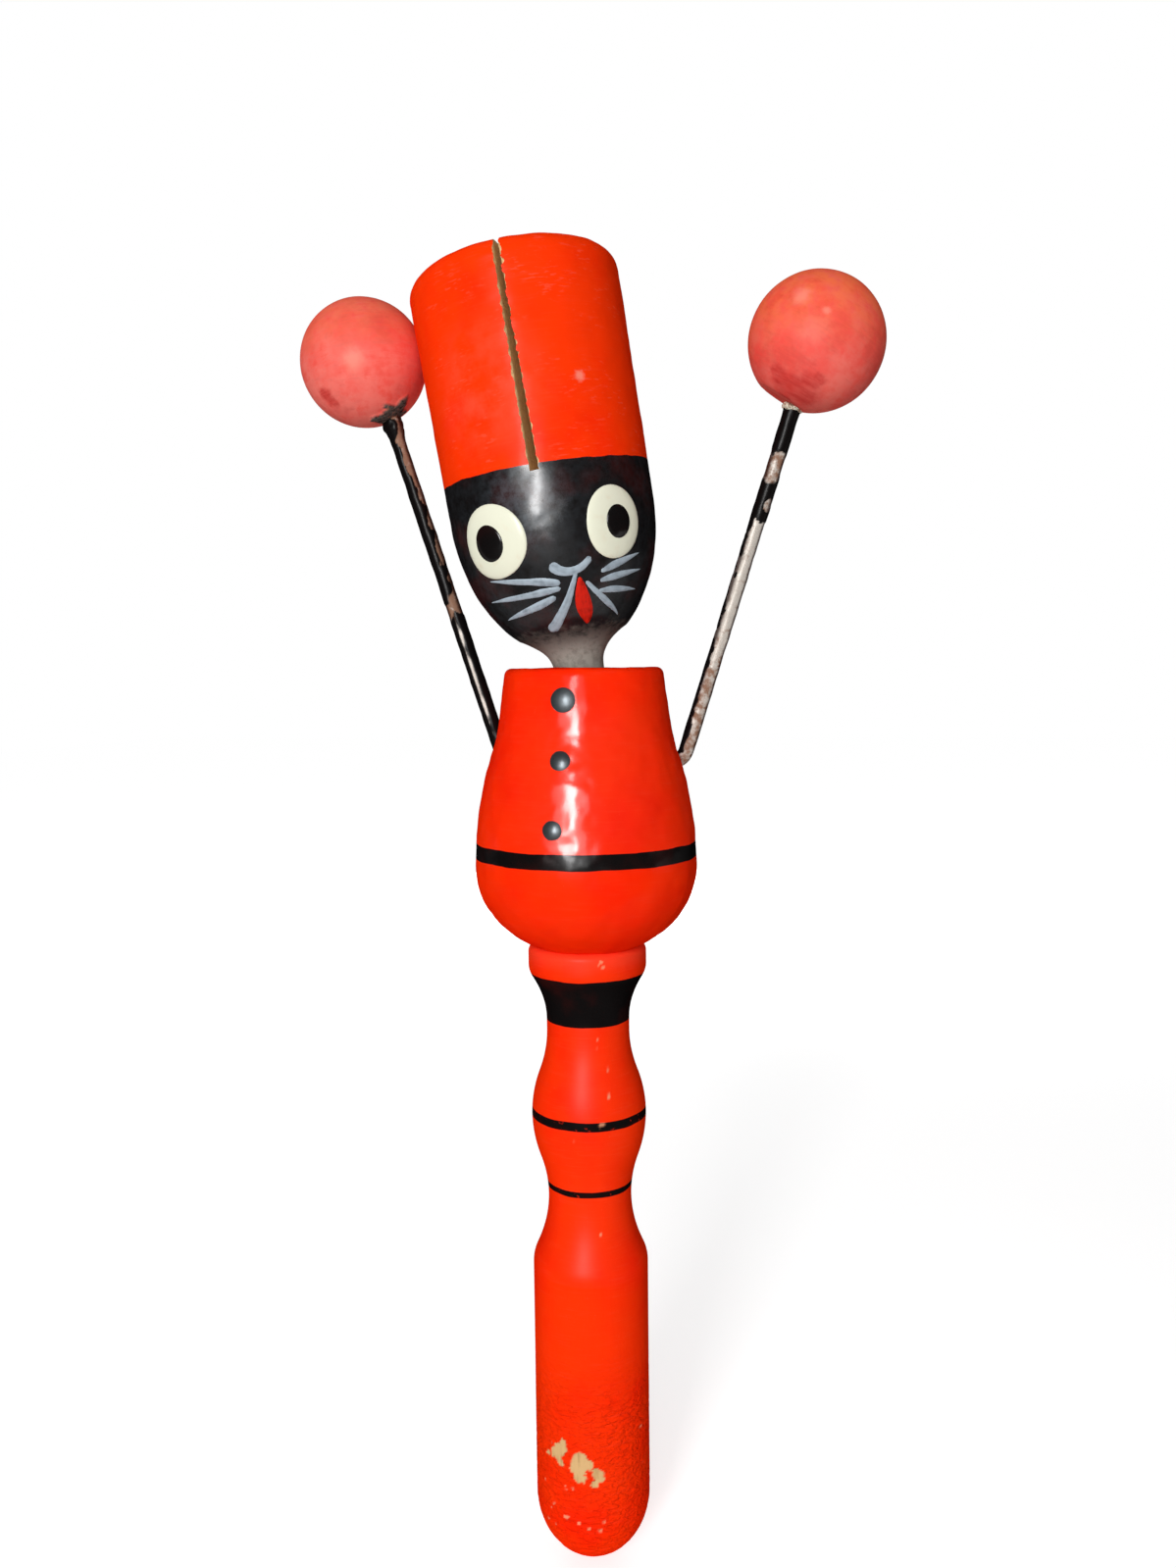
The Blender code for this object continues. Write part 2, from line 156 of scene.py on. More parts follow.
class ClackerColours(bpy.types.PropertyGroup):
    """Colours of the toy's paints and of what shows where they have gone."""

    red: colour_property("Red", "Red enamel", (0.98, 0.018, 0.001))
    orange_red: colour_property("Orange red", "Red enamel that has gone towards orange", (0.99, 0.058, 0.002))
    deep_red: colour_property("Deep red", "Red enamel where it lies thick", (0.90, 0.010, 0.001))
    # Chalky red is also laid on as painted sheen, on the hat and on the collar
    chalky_red: colour_property("Chalky red", "Red enamel rubbed dull", (0.97, 0.095, 0.050))
    # Pale red is also a painted highlight on the left ball
    pale_red: colour_property("Pale red", "Nicks in the red enamel", (0.92, 0.28, 0.20))
    black: colour_property("Black", "Black enamel", (0.0045, 0.0035, 0.0035))
    # Brown black is also the colour of the painted shade on the wire's sides
    brown_black: colour_property("Brown black", "Black enamel, thin over red", (0.028, 0.0042, 0.0036))
    dust: colour_property("Dust", "Grey dust on the neck", (0.300, 0.285, 0.250))
    wood: colour_property("Wood", "Bare wood", (0.66, 0.42, 0.19))
    sawn_wood: colour_property("Sawn wood", "Wood inside the saw cut", (0.88, 0.60, 0.30))
    dark_wood: colour_property("Dark wood", "Bare wood that has gone brown", (0.34, 0.18, 0.060))
    pink: colour_property("Pink", "Faded paint of the balls", (0.86, 0.105, 0.078))
    # Pale pink is also laid on as painted light towards the bottom of each ball
    pale_pink: colour_property("Pale pink", "Paint of the balls where it is rubbed", (0.90, 0.200, 0.160))
    orange: colour_property("Orange", "Thin, yellowed paint of the balls", (0.90, 0.160, 0.055))
    fresh_red: colour_property("Fresh red", "Paint of the balls that has not faded", (0.56, 0.032, 0.028))
    ball_red: colour_property("Ball red", "Paint of the balls that has kept its red", (0.88, 0.062, 0.050))
    cream: colour_property("Cream", "Enamel of the eyes", (0.80, 0.80, 0.64))
    stroke: colour_property("Stroke", "Grey-blue paint of the brush strokes", (0.38, 0.45, 0.51))
    thin_stroke: colour_property("Thin stroke", "Brush strokes where they lie thin", (0.15, 0.18, 0.21))
    tongue: colour_property("Tongue", "Red paint of the tongue", (0.66, 0.018, 0.008))
    deep_tongue: colour_property("Deep tongue", "Tongue where its paint lies thin", (0.14, 0.008, 0.005))
    steel: colour_property("Steel", "Bare steel wire", (0.60, 0.545, 0.485))
    nail: colour_property("Nail", "Dull steel of the nail heads", (0.135, 0.152, 0.163))
    rust: colour_property("Rust", "Rusty steel wire", (0.26, 0.145, 0.095))
    paper: colour_property("Paper", "Floor behind the toy", (0.90, 0.90, 0.90))
    grey_paper: colour_property("Grey paper", "Floor in front of the toy", (0.22, 0.22, 0.22))


class ClackerWear(bpy.types.PropertyGroup):
    """How worn the toy is."""

    chip_depth: length_property("Chip depth", "Depth of the paint that has chipped off the grip", 0.10 * MM)
    wrinkle: length_property("Wrinkles", "Height of the wrinkles in the paint at the grip's end", 0.10 * MM)
    flake: length_property("Flakes", "Thickness of the paint left on the wire", 0.11 * MM)
    kerf_chip: length_property("Saw cut chips", "Width of the chips along the saw cut", 0.70 * MM)
    daub: length_property("Daub", "Thickness of the lump of paint under the left ball", 0.6 * MM)


class ClackerFace(bpy.types.PropertyGroup):
    """Sizes of the painted face."""

    eye_lift: length_property("Eye thickness", "Thickness of the enamel drops of the eyes", 0.45 * MM)
    pupil_lift: length_property("Pupil thickness", "Thickness of the pupils", 0.30 * MM)
    stroke_lift: length_property("Stroke thickness", "Thickness of the brush strokes", 0.16 * MM)
    sink: length_property("Sink", "How far the painted shapes reach into the head", 0.10 * MM)


class ClackerStudio(bpy.types.PropertyGroup):
    """Camera and lamps."""

    lens: FloatProperty(name="Lens", description="Focal length on a 36 mm frame", default=28.14,
                        unit="CAMERA")
    camera_turn: angle_property("Camera turn", "How far to the right of the front the camera stands", 14.0)
    camera_distance: length_property("Camera distance", "Distance from the handle's axis", 217.31 * MM)
    camera_height: length_property("Camera height", "Height above the middle of the grip", 128.66 * MM)
    camera_pan: angle_property("Camera pan", "How far the camera looks past the handle's axis", 0.13)
    camera_dip: angle_property("Camera dip", "How far the camera looks down", 5.006)
    camera_roll: angle_property("Camera roll", "How far the camera is rolled clockwise", 0.672)
    strip_box: power_property("Strip box", "Power of the tall lamp at the front", 1.75)
    screen: power_property("Screen", "Power of the pale screen round the strip box", 0.65)
    soft_box: power_property("Soft box", "Power of the large lamp behind the strip box", 2.5)
    back_box: power_property("Back box", "Power of the lamp that lights the toy's back", 2.2)
    fill: share_property("Fill", "Strength of the light from all round", 0.24)
    floor_glow: share_property("Floor glow", "Glow that whitens the floor near the toy", 0.58)
    far_glow: share_property("Far glow", "Glow that whitens the floor further off", 0.78)


# Shader nodes

def operator(operation, reflected=False):
    """Method that adds a Math node for one of Python's operators."""
    def method(self, other):
        pair = (other, self) if reflected else (self, other)
        return self.nodes.math(operation, *pair)
    return method


class Socket:
    """Output of a shader node that Python's operators work on."""

    def __init__(self, nodes, output):
        self.nodes = nodes
        self.output = output

    __add__ = operator("ADD")
    __radd__ = operator("ADD", True)
    __sub__ = operator("SUBTRACT")
    __rsub__ = operator("SUBTRACT", True)
    __mul__ = operator("MULTIPLY")
    __rmul__ = operator("MULTIPLY", True)
    __truediv__ = operator("DIVIDE")
    __rtruediv__ = operator("DIVIDE", True)
    __pow__ = operator("POWER")


# Refraction of the clear gloss, and how fast the gloss fades where it is seen edge on
GLOSS_IOR = 1.65
GLOSS_FADE = 4.0


class Coat(NamedTuple):
    """One layer of a finish: its colour, its roughness, its height in millimetres and its clear gloss."""

    colour: object
    roughness: object
    height: object
    gloss: object = 0.0


class Nodes:
    """Node tree that nodes are added to."""

    def __init__(self, owner):
        owner.use_nodes = True
        self.tree = owner.node_tree

    def connect(self, socket, value):
        """Links a socket, or sets its value."""
        if isinstance(value, Socket):
            self.tree.links.new(value.output, socket)
        elif socket.type == "RGBA":
            socket.default_value = (*value[:3], 1.0)
        else:
            socket.default_value = value

    def node(self, kind, settings, inputs, output=0):
        """Adds a node, sets its settings, then its sockets, and gives back one of its outputs."""
        item = self.tree.nodes.new(kind)
        for name, value in settings.items():
            setattr(item, name, value)
        for key, value in inputs.items():
            self.connect(item.inputs[key], value)
        return Socket(self, item.outputs[output])

    def math(self, operation, *values):
        """Adds a Math node."""
        return self.node("ShaderNodeMath", {"operation": operation}, dict(enumerate(values)))

    def place(self):
        """Position on the piece, in its own frame."""
        return self.node("ShaderNodeTexCoord", {}, {}, "Object")

    def stretch(self, place, *scales):
        """Position scaled along X, Y and Z."""
        return self.node("ShaderNodeVectorMath", {"operation": "MULTIPLY"}, {0: place, 1: scales})

    def shift(self, place, *offset):
        """Position moved by an offset."""
        return self.node("ShaderNodeVectorMath", {"operation": "ADD"}, {0: place, 1: offset})

    def distance(self, place, point):
        """Distance from a point."""
        return self.node("ShaderNodeVectorMath", {"operation": "DISTANCE"}, {0: place, 1: point}, "Value")

    def axis(self, place, name):
        """One of X, Y and Z of a position."""
        return self.node("ShaderNodeSeparateXYZ", {}, {"Vector": place}, name)

    def noise(self, place, size, detail=2.0, rough=0.5, distortion=0.0):
        """Cloudy noise from 0 to 1 whose blotches are about a size across."""
        return self.node("ShaderNodeTexNoise", {}, {
            "Vector": place, "Scale": 1.0 / size, "Detail": detail, "Roughness": rough,
            "Distortion": distortion})

    def step(self, value, low, high):
        """Smooth step from 0 at low to 1 at high."""
        return self.node("ShaderNodeMapRange", {"interpolation_type": "SMOOTHSTEP"}, {
            "Value": value, "From Min": low, "From Max": high})

    def fall(self, value, low, high):
        """Smooth step from 1 at low to 0 at high."""
        return 1.0 - self.step(value, low, high)

    def mask(self, name):
        """Mask that is kept on the mesh's points."""
        return self.node("ShaderNodeAttribute", {"attribute_name": name}, {}, "Fac")

    def mix(self, factor, under, over):
        """Colour from under at 0 to over at 1."""
        return self.node("ShaderNodeMix", {"data_type": "RGBA"}, {0: factor, 6: under, 7: over}, 2)

    def blend(self, factor, under, over):
        """Number from under at 0 to over at 1."""
        return self.node("ShaderNodeMix", {"data_type": "FLOAT"}, {0: factor, 2: under, 3: over})


class Finish(Nodes):
    """Material that is built up in coats on one Principled shader."""

    def __init__(self, name):
        self.material = bpy.data.materials.new(name)
        super().__init__(self.material)
        self.shader = self.tree.nodes["Principled BSDF"]

    def lay(self, factor, under, over):
        """Coat laid over another where factor is 1."""
        return Coat(self.mix(factor, under.colour, over.colour),
                    self.blend(factor, under.roughness, over.roughness),
                    self.blend(factor, under.height, over.height),
                    self.blend(factor, under.gloss, over.gloss))

    def done(self, coat, gloss_roughness, metallic=0.0):
        """Material that shows the top coat, whose gloss fades where it is seen edge on."""
        gloss = coat.gloss
        if gloss != 0.0:
            edge_on = self.node("ShaderNodeLayerWeight", {}, {}, "Facing")
            gloss = (1.0 - edge_on) ** GLOSS_FADE * gloss
        values = {
            "Base Color": coat.colour, "Roughness": coat.roughness, "Metallic": metallic,
            "Normal": self.node("ShaderNodeBump", {}, {"Distance": MM, "Height": coat.height}, "Normal"),
            "Specular IOR Level": 0.0, "Coat Weight": gloss, "Coat Roughness": gloss_roughness,
            "Coat IOR": GLOSS_IOR}
        for name, value in values.items():
            self.connect(self.shader.inputs[name], value)
        return self.material


# Paints and bare stuff, as coats

def red_enamel(finish, place, colours, warmth, roughness, gloss):
    """Brushed red enamel over turned wood, some of which has gone towards orange."""
    cloud = finish.noise(place, 14 * MM, 3.0)
    tint = finish.noise(finish.shift(place, 0.031, 0.0, 0.0), 17 * MM, 4.0, 0.6)
    lines = finish.noise(finish.stretch(place, 0.06, 0.06, 1.0), 0.30 * MM, 3.0)
    peel = finish.noise(place, 0.55 * MM, 1.0)
    speck = finish.step(finish.noise(place, 0.35 * MM, 1.0), 0.72, 0.80)
    colour = finish.mix(finish.step(cloud, 0.42, 0.72) * 0.7, colours.red, colours.deep_red)
    colour = finish.mix(finish.step(tint + 0.5 * warmth, 0.40, 0.80) * warmth, colour, colours.orange_red)
    colour = finish.mix(finish.step(lines, 0.50, 0.80) * 0.10 + speck * 0.25, colour, colours.chalky_red)
    return Coat(colour, roughness + 0.10 * (lines - 0.5), 0.003 * peel + 0.004 * lines, gloss)


def black_enamel(finish, place, colours, thinness, gloss):
    """Black enamel, with a little of the red under it showing through where it lies thin."""
    thin = finish.step(finish.noise(place, 8 * MM, 3.0), 0.45, 0.70)
    peel = finish.noise(place, 0.5 * MM, 2.0)
    colour = finish.mix(thin * thinness, colours.black, colours.brown_black)
    return Coat(colour, 0.45, 0.006 * peel, gloss * (0.75 + 0.5 * peel))


def bare_wood(finish, place, colours, depth):
    """Bare wood whose grain runs along Z, at a height in millimetres."""
    grain = finish.noise(finish.stretch(place, 1.0, 1.0, 0.06), 0.45 * MM, 4.0, 0.6)
    cloud = finish.noise(place, 3.0 * MM, 3.0)
    shade = finish.step(0.6 * grain + 0.4 * cloud, 0.46, 0.72)
    colour = finish.mix(shade * 0.7, colours.wood, colours.dark_wood)
    return Coat(colour, 0.72, 0.030 * grain + depth)


def band(finish, height, low, high, wander):
    """Mask of a band painted by hand round a turned piece between two heights in millimetres."""
    soft = 0.06
    rise = finish.step(height + wander, (low - soft) * MM, (low + soft) * MM)
    drop = finish.fall(height + wander, (high - soft) * MM, (high + soft) * MM)
    return rise * drop


# Meshes

def even(points, spacing):
    """Points along a polyline at about an even spacing, with both of its ends."""
    points = np.array(points, float)
    along = np.concatenate([[0.0], np.cumsum(np.linalg.norm(np.diff(points, axis=0), axis=1))])
    count = max(1, round(along[-1] / spacing))
    places = np.linspace(0.0, along[-1], count + 1)
    return np.stack([np.interp(places, along, column) for column in points.T], axis=1)


def joined(*runs):
    """One polyline from runs that each start where the one before ends."""
    return np.concatenate([runs[0]] + [run[1:] for run in runs[1:]])


def ogee(waist, crest, turn):
    """S-curve from a waist to a crest, as fine points of (radius, height)."""
    share = np.linspace(0.0, 1.0, 81)
    swell = np.where(share < turn, share ** 2 / turn, 1 - (1 - share) ** 2 / (1 - turn))
    waist, crest = np.array(waist), np.array(crest)
    return np.stack([waist[0] + (crest[0] - waist[0]) * swell,
                     waist[1] + (crest[1] - waist[1]) * share], axis=1)


def arc(centre, across, up, start, end):
    """Part of an ellipse, in fine points, from one angle to another, in degrees from outwards towards up."""
    angles = np.radians(np.linspace(start, end, 81))
    return np.stack([centre[0] + across * np.cos(angles), centre[1] + up * np.sin(angles)], axis=1)


def mesh_object(name, vertices, faces, materials, masks=None):
    """Smooth mesh object with its materials and the masks of its points."""
    mesh = bpy.data.meshes.new(name)
    mesh.from_pydata([tuple(v) for v in vertices], [], [tuple(f) for f in faces])
    mesh.validate()
    for mask, values in (masks or {}).items():
        attribute = mesh.attributes.new(mask, "FLOAT", "POINT")
        attribute.data.foreach_set("value", np.array(values, np.float32))
    for material in materials:
        mesh.materials.append(material)
    item = bpy.data.objects.new(name, mesh)
    bpy.context.scene.collection.objects.link(item)
    soften(mesh)
    return item


def soften(mesh):
    """Smooth shading, with sharp edges where the surface turns hard."""
    mesh.shade_smooth()
    mesh.set_sharp_from_angle(angle=SHARP_ANGLE)


def rings_to_faces(rings, columns, first):
    """Quads between rings of points that follow each other from an index on."""
    faces = []
    for ring in range(rings - 1):
        base = first + ring * columns
        for column in range(columns):
            after = (column + 1) % columns
            faces.append((base + column, base + after, base + columns + after, base + columns + column))
    return faces


def tube(rings, columns, first=0):
    """Faces of rings of points that follow each other from an index on, with a flat face at both ends."""
    end = first + rings * columns
    return rings_to_faces(rings, columns, first) + [tuple(reversed(range(first, first + columns))),
                                                    tuple(range(end - columns, end))]


def capped(rings, columns):
    """Faces of rings of points from index 1 on, with points at index 0 and at the end that close them."""
    faces = rings_to_faces(rings, columns, 1)
    last = 1 + rings * columns
    for column in range(columns):
        after = (column + 1) % columns
        faces.append((0, 1 + after, 1 + column))
        faces.append((last, last - columns + column, last - columns + after))
    return faces


def turned(name, profile, columns, materials, wear=None):
    """Closed turning about Z from a profile of (radius, height) that starts and ends on the axis.

    The wear gives, for a point on the surface, how far it stands out and the value of each mask there.
    """
    profile = np.array(profile)
    along = np.gradient(profile, axis=0)
    outwards = np.stack([along[:, 1], -along[:, 0]], axis=1)
    outwards /= np.linalg.norm(outwards, axis=1)[:, None] + 1e-12
    turns = [2 * math.pi * column / columns for column in range(columns)]
    vertices = [(0.0, 0.0, profile[0][1])]
    masks = {}
    for (radius, height), (out_radius, out_height) in zip(profile[1:-1], outwards[1:-1]):
        for turn in turns:
            across, deep = math.sin(turn), -math.cos(turn)
            point = Vector((radius * across, radius * deep, height))
            if wear:
                lift, values = wear(point)
                point += lift * Vector((out_radius * across, out_radius * deep, out_height))
                for mask, value in values.items():
                    masks.setdefault(mask, [0.0]).append(value)
            vertices.append(tuple(point))
    vertices.append((0.0, 0.0, profile[-1][1]))
    for values in masks.values():
        values.append(0.0)
    return mesh_object(name, vertices, capped(len(profile) - 2, columns), materials, masks)


def cut(item, cutter):
    """Takes a cutter's shape out of a piece, leaves the cutter's material there, and removes the cutter."""
    boolean = item.modifiers.new("cut", "BOOLEAN")
    boolean.operation = "DIFFERENCE"
    boolean.solver = "EXACT"
    boolean.material_mode = "TRANSFER"
    boolean.object = cutter
    bpy.context.view_layer.update()
    evaluated = item.evaluated_get(bpy.context.evaluated_depsgraph_get())
    mesh = bpy.data.meshes.new_from_object(evaluated)
    item.modifiers.clear()
    item.data = mesh
    bpy.data.objects.remove(cutter)
    if not mesh.polygons:
        raise RuntimeError(f"nothing is left of {item.name} after its cut")
    soften(mesh)


def stand_for(item, node, body):
    """Puts a piece in the place of a solid, on its body, and hides the solid."""
    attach(item, body)
    if node:
        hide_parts(node)


def ripple(point, size, octaves=3):
    """Smooth noise of about -1 to 1 at a point, whose waves are about a size long."""
    return noise.fractal(point / size, 1.0, 2.0, octaves)


def rippled(height, size, octaves):
    """Wear that is only a ripple of a height and a size in millimetres, with no masks."""
    return lambda point: (height * MM * ripple(point, size * MM, octaves), {})


def smooth_step(value, low, high):
    """Smooth step from 0 at low to 1 at high."""
    share = min(1.0, max(0.0, (value - low) / (high - low)))
    return share * share * (3 - 2 * share)


# The head's surface, which carries the painted face

# Sizes of the head in millimetres, with heights above the pivot
NECK_RADIUS = 4.4
FACE_RADIUS = 17.9
FACE_HEIGHT = 25.2
BROW_RISE = 33.0
HAT_RADIUS = 18.3
HAT_RISE = 75.1
HAT_EDGE = 3.4
NECK_FOOT = -6.5
FILLET_FOOT = 5.6
FILLET_CORNER = 9.0
FILLET_TOP = 11.6


def head_profile():
    """Fine (radius, rise) points of the head, in millimetres from the pivot, from neck to hat top."""
    chin = math.degrees(math.acos(NECK_RADIUS / FACE_RADIUS))
    face = arc((0.0, BROW_RISE), FACE_RADIUS, FACE_HEIGHT, -chin, 0.0)
    face = face[face[:, 1] > FILLET_TOP]
    fillet_foot = np.array((NECK_RADIUS, FILLET_FOOT))
    corner = np.array((NECK_RADIUS, FILLET_CORNER))
    share = np.linspace(0.0, 1.0, 21)[:, None]
    fillet = (1 - share) ** 2 * fillet_foot + 2 * share * (1 - share) * corner + share ** 2 * face[0]
    neck = even([(0.0, NECK_FOOT), (NECK_RADIUS, NECK_FOOT), fillet_foot], COARSE)
    hat = even([face[-1], (HAT_RADIUS, HAT_RISE - HAT_EDGE)], FINE)
    edge = arc((HAT_RADIUS - HAT_EDGE, HAT_RISE - HAT_EDGE), HAT_EDGE, HAT_EDGE, 0.0, 90.0)
    top = even([edge[-1], (0.0, HAT_RISE)], COARSE)
    return joined(neck, even(fillet, FINE), even(face, FINE), hat, even(edge, FINE), top)


class HeadSkin:
    """Outer surface of the face and hat, by turn from the front towards +X and by rise above the pivot."""

    def __init__(self):
        profile = head_profile()
        side = profile[(profile[:, 1] > FILLET_TOP) & (profile[:, 1] < HAT_RISE - HAT_EDGE)]
        self.rises = side[:, 1] * MM
        self.radii = side[:, 0] * MM
        steps = np.hypot(np.diff(self.rises), np.diff(self.radii))
        self.along = np.concatenate([[0.0], np.cumsum(steps)])

    def spot(self, turn, rise):
        """Point on the surface at a turn in degrees and a rise in millimetres."""
        return self.point(math.radians(turn), rise * MM, 0.0)

    def walk(self, turn, rise, across, up):
        """Turn and rise after a walk over the surface, across towards +X and up the profile."""
        new_rise = np.interp(np.interp(rise, self.rises, self.along) + up, self.along, self.rises)
        return turn + across / np.interp(new_rise, self.rises, self.radii), new_rise

    def point(self, turn, rise, lift):
        """Point in the head's frame that stands off the surface."""
        radius = np.interp(rise, self.rises, self.radii)
        step = 0.2 * MM
        slope = (np.interp(rise + step, self.rises, self.radii)
                 - np.interp(rise - step, self.rises, self.radii)) / (2 * step)
        tilt = math.atan(slope)
        reach = radius + lift * math.cos(tilt)
        return Vector((reach * math.sin(turn), -reach * math.cos(turn), rise - lift * math.sin(tilt)))


SKIN = HeadSkin()
HEAD_PLACE = Matrix.Translation(PIVOT) @ Matrix.Rotation(-HEAD_LEAN, 4, "Y")


def on_head(item, node=None):
    """Sets a piece made in the head's frame on the head."""
    item.matrix_world = HEAD_PLACE
    stand_for(item, node, HEAD)
    return item


def enamel_drop(name, place, base, lift, sink, material):
    """Raised round drop of enamel on the face, with a soft rim, on a base above the head's surface.

    The place is its turn in degrees, its rise, half width and half height in millimetres, and its tilt
    in degrees.
    """
    turn, tilt = math.radians(place[0]), math.radians(place[4])
    rise, half_width, half_height = millimetres(place[1:4])
    columns = SMALL_COLUMNS
    shares = [math.sin(math.pi / 2 * ring / DROP_RINGS) for ring in range(1, DROP_RINGS + 1)]
    outline = []
    for column in range(columns):
        angle = 2 * math.pi * column / columns
        across, up = half_width * math.cos(angle), half_height * math.sin(angle)
        wobble = 1.0 + 0.010 * math.sin(3 * angle + turn * 9)
        outline.append((wobble * (across * math.cos(tilt) - up * math.sin(tilt)),
                        wobble * (across * math.sin(tilt) + up * math.cos(tilt))))
    layers = [(share, base + lift * (1 - share ** 5) ** 0.5) for share in shares]
    layers += [(share, -sink) for share in reversed(shares)]
    vertices = [SKIN.point(turn, rise, base + lift)]
    for share, height in layers:
        for across, up in outline:
            vertices.append(SKIN.point(*SKIN.walk(turn, rise, share * across, share * up), height))
    vertices.append(SKIN.point(turn, rise, -sink))
    faces = [face[::-1] for face in capped(len(layers), columns)]
    return on_head(mesh_object(name, vertices, faces, [material]))


def spline(points, count):
    """Points on a smooth curve through some points of any number of values."""
    points = np.array(points, float)
    points = np.concatenate([[2 * points[0] - points[1]], points, [2 * points[-1] - points[-2]]])
    out = []
    for step in range(count):
        place = step / (count - 1) * (len(points) - 3)
        index = min(int(place), len(points) - 4)
        t = place - index
        a, b, c, d = points[index:index + 4]
        out.append(0.5 * (2 * b + (c - a) * t + (2 * a - 5 * b + 4 * c - d) * t ** 2
                          + (3 * b - a - 3 * c + d) * t ** 3))
    return np.array(out)


# Least half width of a stroke, and the half width from which it is raised in full, in millimetres
LEAST_HALF = 0.02
FULL_HALF = 0.5


def stroke_shape(points, lift, sink, first):
    """Vertices, faces and masks of one raised brush stroke, whose vertices start at an index.

    It runs through points of turn in degrees, and rise and half width in millimetres.
    """
    count, across_steps = 36, 8
    path = spline(points, count)
    turns, rises, halves = np.radians(path[:, 0]), path[:, 1] * MM, path[:, 2] * MM
    flat = np.stack([turns * np.interp(rises, SKIN.rises, SKIN.radii), rises], axis=1)
    forward = np.gradient(flat, axis=0)
    forward /= np.linalg.norm(forward, axis=1)[:, None]
    lengths = np.concatenate([[0.0], np.cumsum(np.linalg.norm(np.diff(flat, axis=0), axis=1))])
    vertices, along, across_mask = [], [], []
    for index in range(count):
        to_end = min(lengths[index], lengths[-1] - lengths[index])
        half = halves[index]
        if to_end < half:
            half *= math.sqrt(max(0.0, 1 - (1 - to_end / half) ** 2))
        half = max(half, LEAST_HALF * MM)
        side = np.array((-forward[index][1], forward[index][0]))
        shares = np.linspace(-1, 1, across_steps)
        crown = lift * min(1.0, half / (FULL_HALF * MM))
        ring = [(share, crown * (1 - share ** 2) ** 0.5) for share in shares]
        ring += [(share, -sink) for share in reversed(shares)]
        for share, height in ring:
            step = side * half * share
            vertices.append(SKIN.point(*SKIN.walk(turns[index], rises[index], step[0], step[1]), height))
            along.append(lengths[index] / lengths[-1])
            across_mask.append(share * halves[index] / MM)
    faces = [face[::-1] for face in tube(count, 2 * across_steps, first)]
    return vertices, faces, along, across_mask


def brush_strokes(name, strokes, lift, sink, material):
    """One piece of several raised brush strokes on the face."""
    vertices, faces, along, across = [], [], [], []
    for points in strokes:
        shape = stroke_shape(points, lift, sink, len(vertices))
        vertices += shape[0]
        faces += shape[1]
        along += shape[2]
        across += shape[3]
    return on_head(mesh_object(name, vertices, faces, [material], {"along": along, "across": across}))


# Each eye and pupil as turn in degrees, rise, half width and half height in millimetres, and tilt in degrees
EYES = {"left": (-23.4, 27.5, 6.4, 6.15, 14.0), "right": (48.6, 27.4, 5.35, 6.0, 0.0)}
PUPILS = {"left": (-24.8, 27.4, 2.75, 3.0, 0.0), "right": (49.8, 27.4, 2.3, 2.7, 0.0)}

# Brush strokes as turn in degrees, rise and half width in millimetres
STROKES = {
    "nose_stroke": [
        [(7.2, 22.0, 1.00), (12.2, 20.9, 0.85), (18.7, 20.5, 0.72), (25.7, 20.9, 0.65), (32.0, 22.2, 0.58)],
    ],
    "mouth_strokes": [
        [(22.5, 20.6, 0.28), (19.5, 18.6, 0.42), (13.5, 15.8, 0.66), (3.0, 13.2, 0.92), (-8.0, 11.8, 1.10)],
        [(28.0, 18.6, 0.30), (35.0, 16.9, 0.50), (47.0, 14.8, 0.52), (62.0, 12.9, 0.10)],
    ],
    "tongue_stroke": [
        [(24.0, 19.4, 0.25), (24.8, 17.2, 1.05), (26.0, 15.0, 1.45), (27.8, 13.2, 1.05), (28.8, 12.1, 0.25)],
    ],
    "whisker_strokes_left": [
        [(11.5, 18.9, 0.50), (2.0, 19.5, 0.70), (-17.0, 20.5, 0.50), (-37.0, 21.7, 0.06)],
        [(11.0, 18.1, 0.40), (-4.0, 18.0, 0.66), (-24.0, 18.1, 0.48), (-47.0, 18.5, 0.06)],
        [(6.5, 16.9, 0.45), (-5.0, 16.2, 0.70), (-24.0, 15.5, 0.50), (-43.0, 15.1, 0.06)],
    ],
    "whisker_strokes_right": [
        [(38.0, 19.8, 0.35), (46.0, 20.5, 0.66), (57.0, 21.4, 0.50), (69.0, 22.4, 0.06)],
        [(37.5, 18.4, 0.35), (47.0, 18.8, 0.62), (60.0, 19.3, 0.46), (73.0, 19.8, 0.06)],
        [(37.0, 16.9, 0.35), (47.0, 16.9, 0.60), (60.0, 16.8, 0.44), (73.0, 16.7, 0.06)],
    ],
}


# Head

# The hat's edge lies in a plane that is a little tilted: its height on the axis, and its slopes along X and Y
HAT_EDGE_RISE = 39.4 * MM
HAT_EDGE_SLOPE = (-0.0370, 0.0642)

# Places of the painted sheen on the hat and on the brow, and of a nick and a scratch on the hat, as turn in
# degrees and rise in millimetres
HAT_PAINTED_SHEEN = (-10.0, 52.0)
HAT_NICK = (40.5, 51.1)
HAT_SCRATCH = (27.0, 38.6)
BROW_PAINTED_SHEEN = (0.0, 32.5)

# Saw cut through the hat: half its width at the top and the foot, how far it bows, its floor and its turn
KERF_HALF_TOP = 0.40 * MM
KERF_HALF_FOOT = 0.70 * MM
KERF_BOW = 1.8 * MM
KERF_FLOOR = 37.1 * MM
KERF_TURN = math.radians(8.0)

# How far the blade for the cut reaches past the hat, and how finely it is ragged, in millimetres
BLADE_PAST = 2.0
BLADE_STEP = 0.28

# Radius of the hole through the neck for the nail, in millimetres
NAIL_HOLE = 1.25


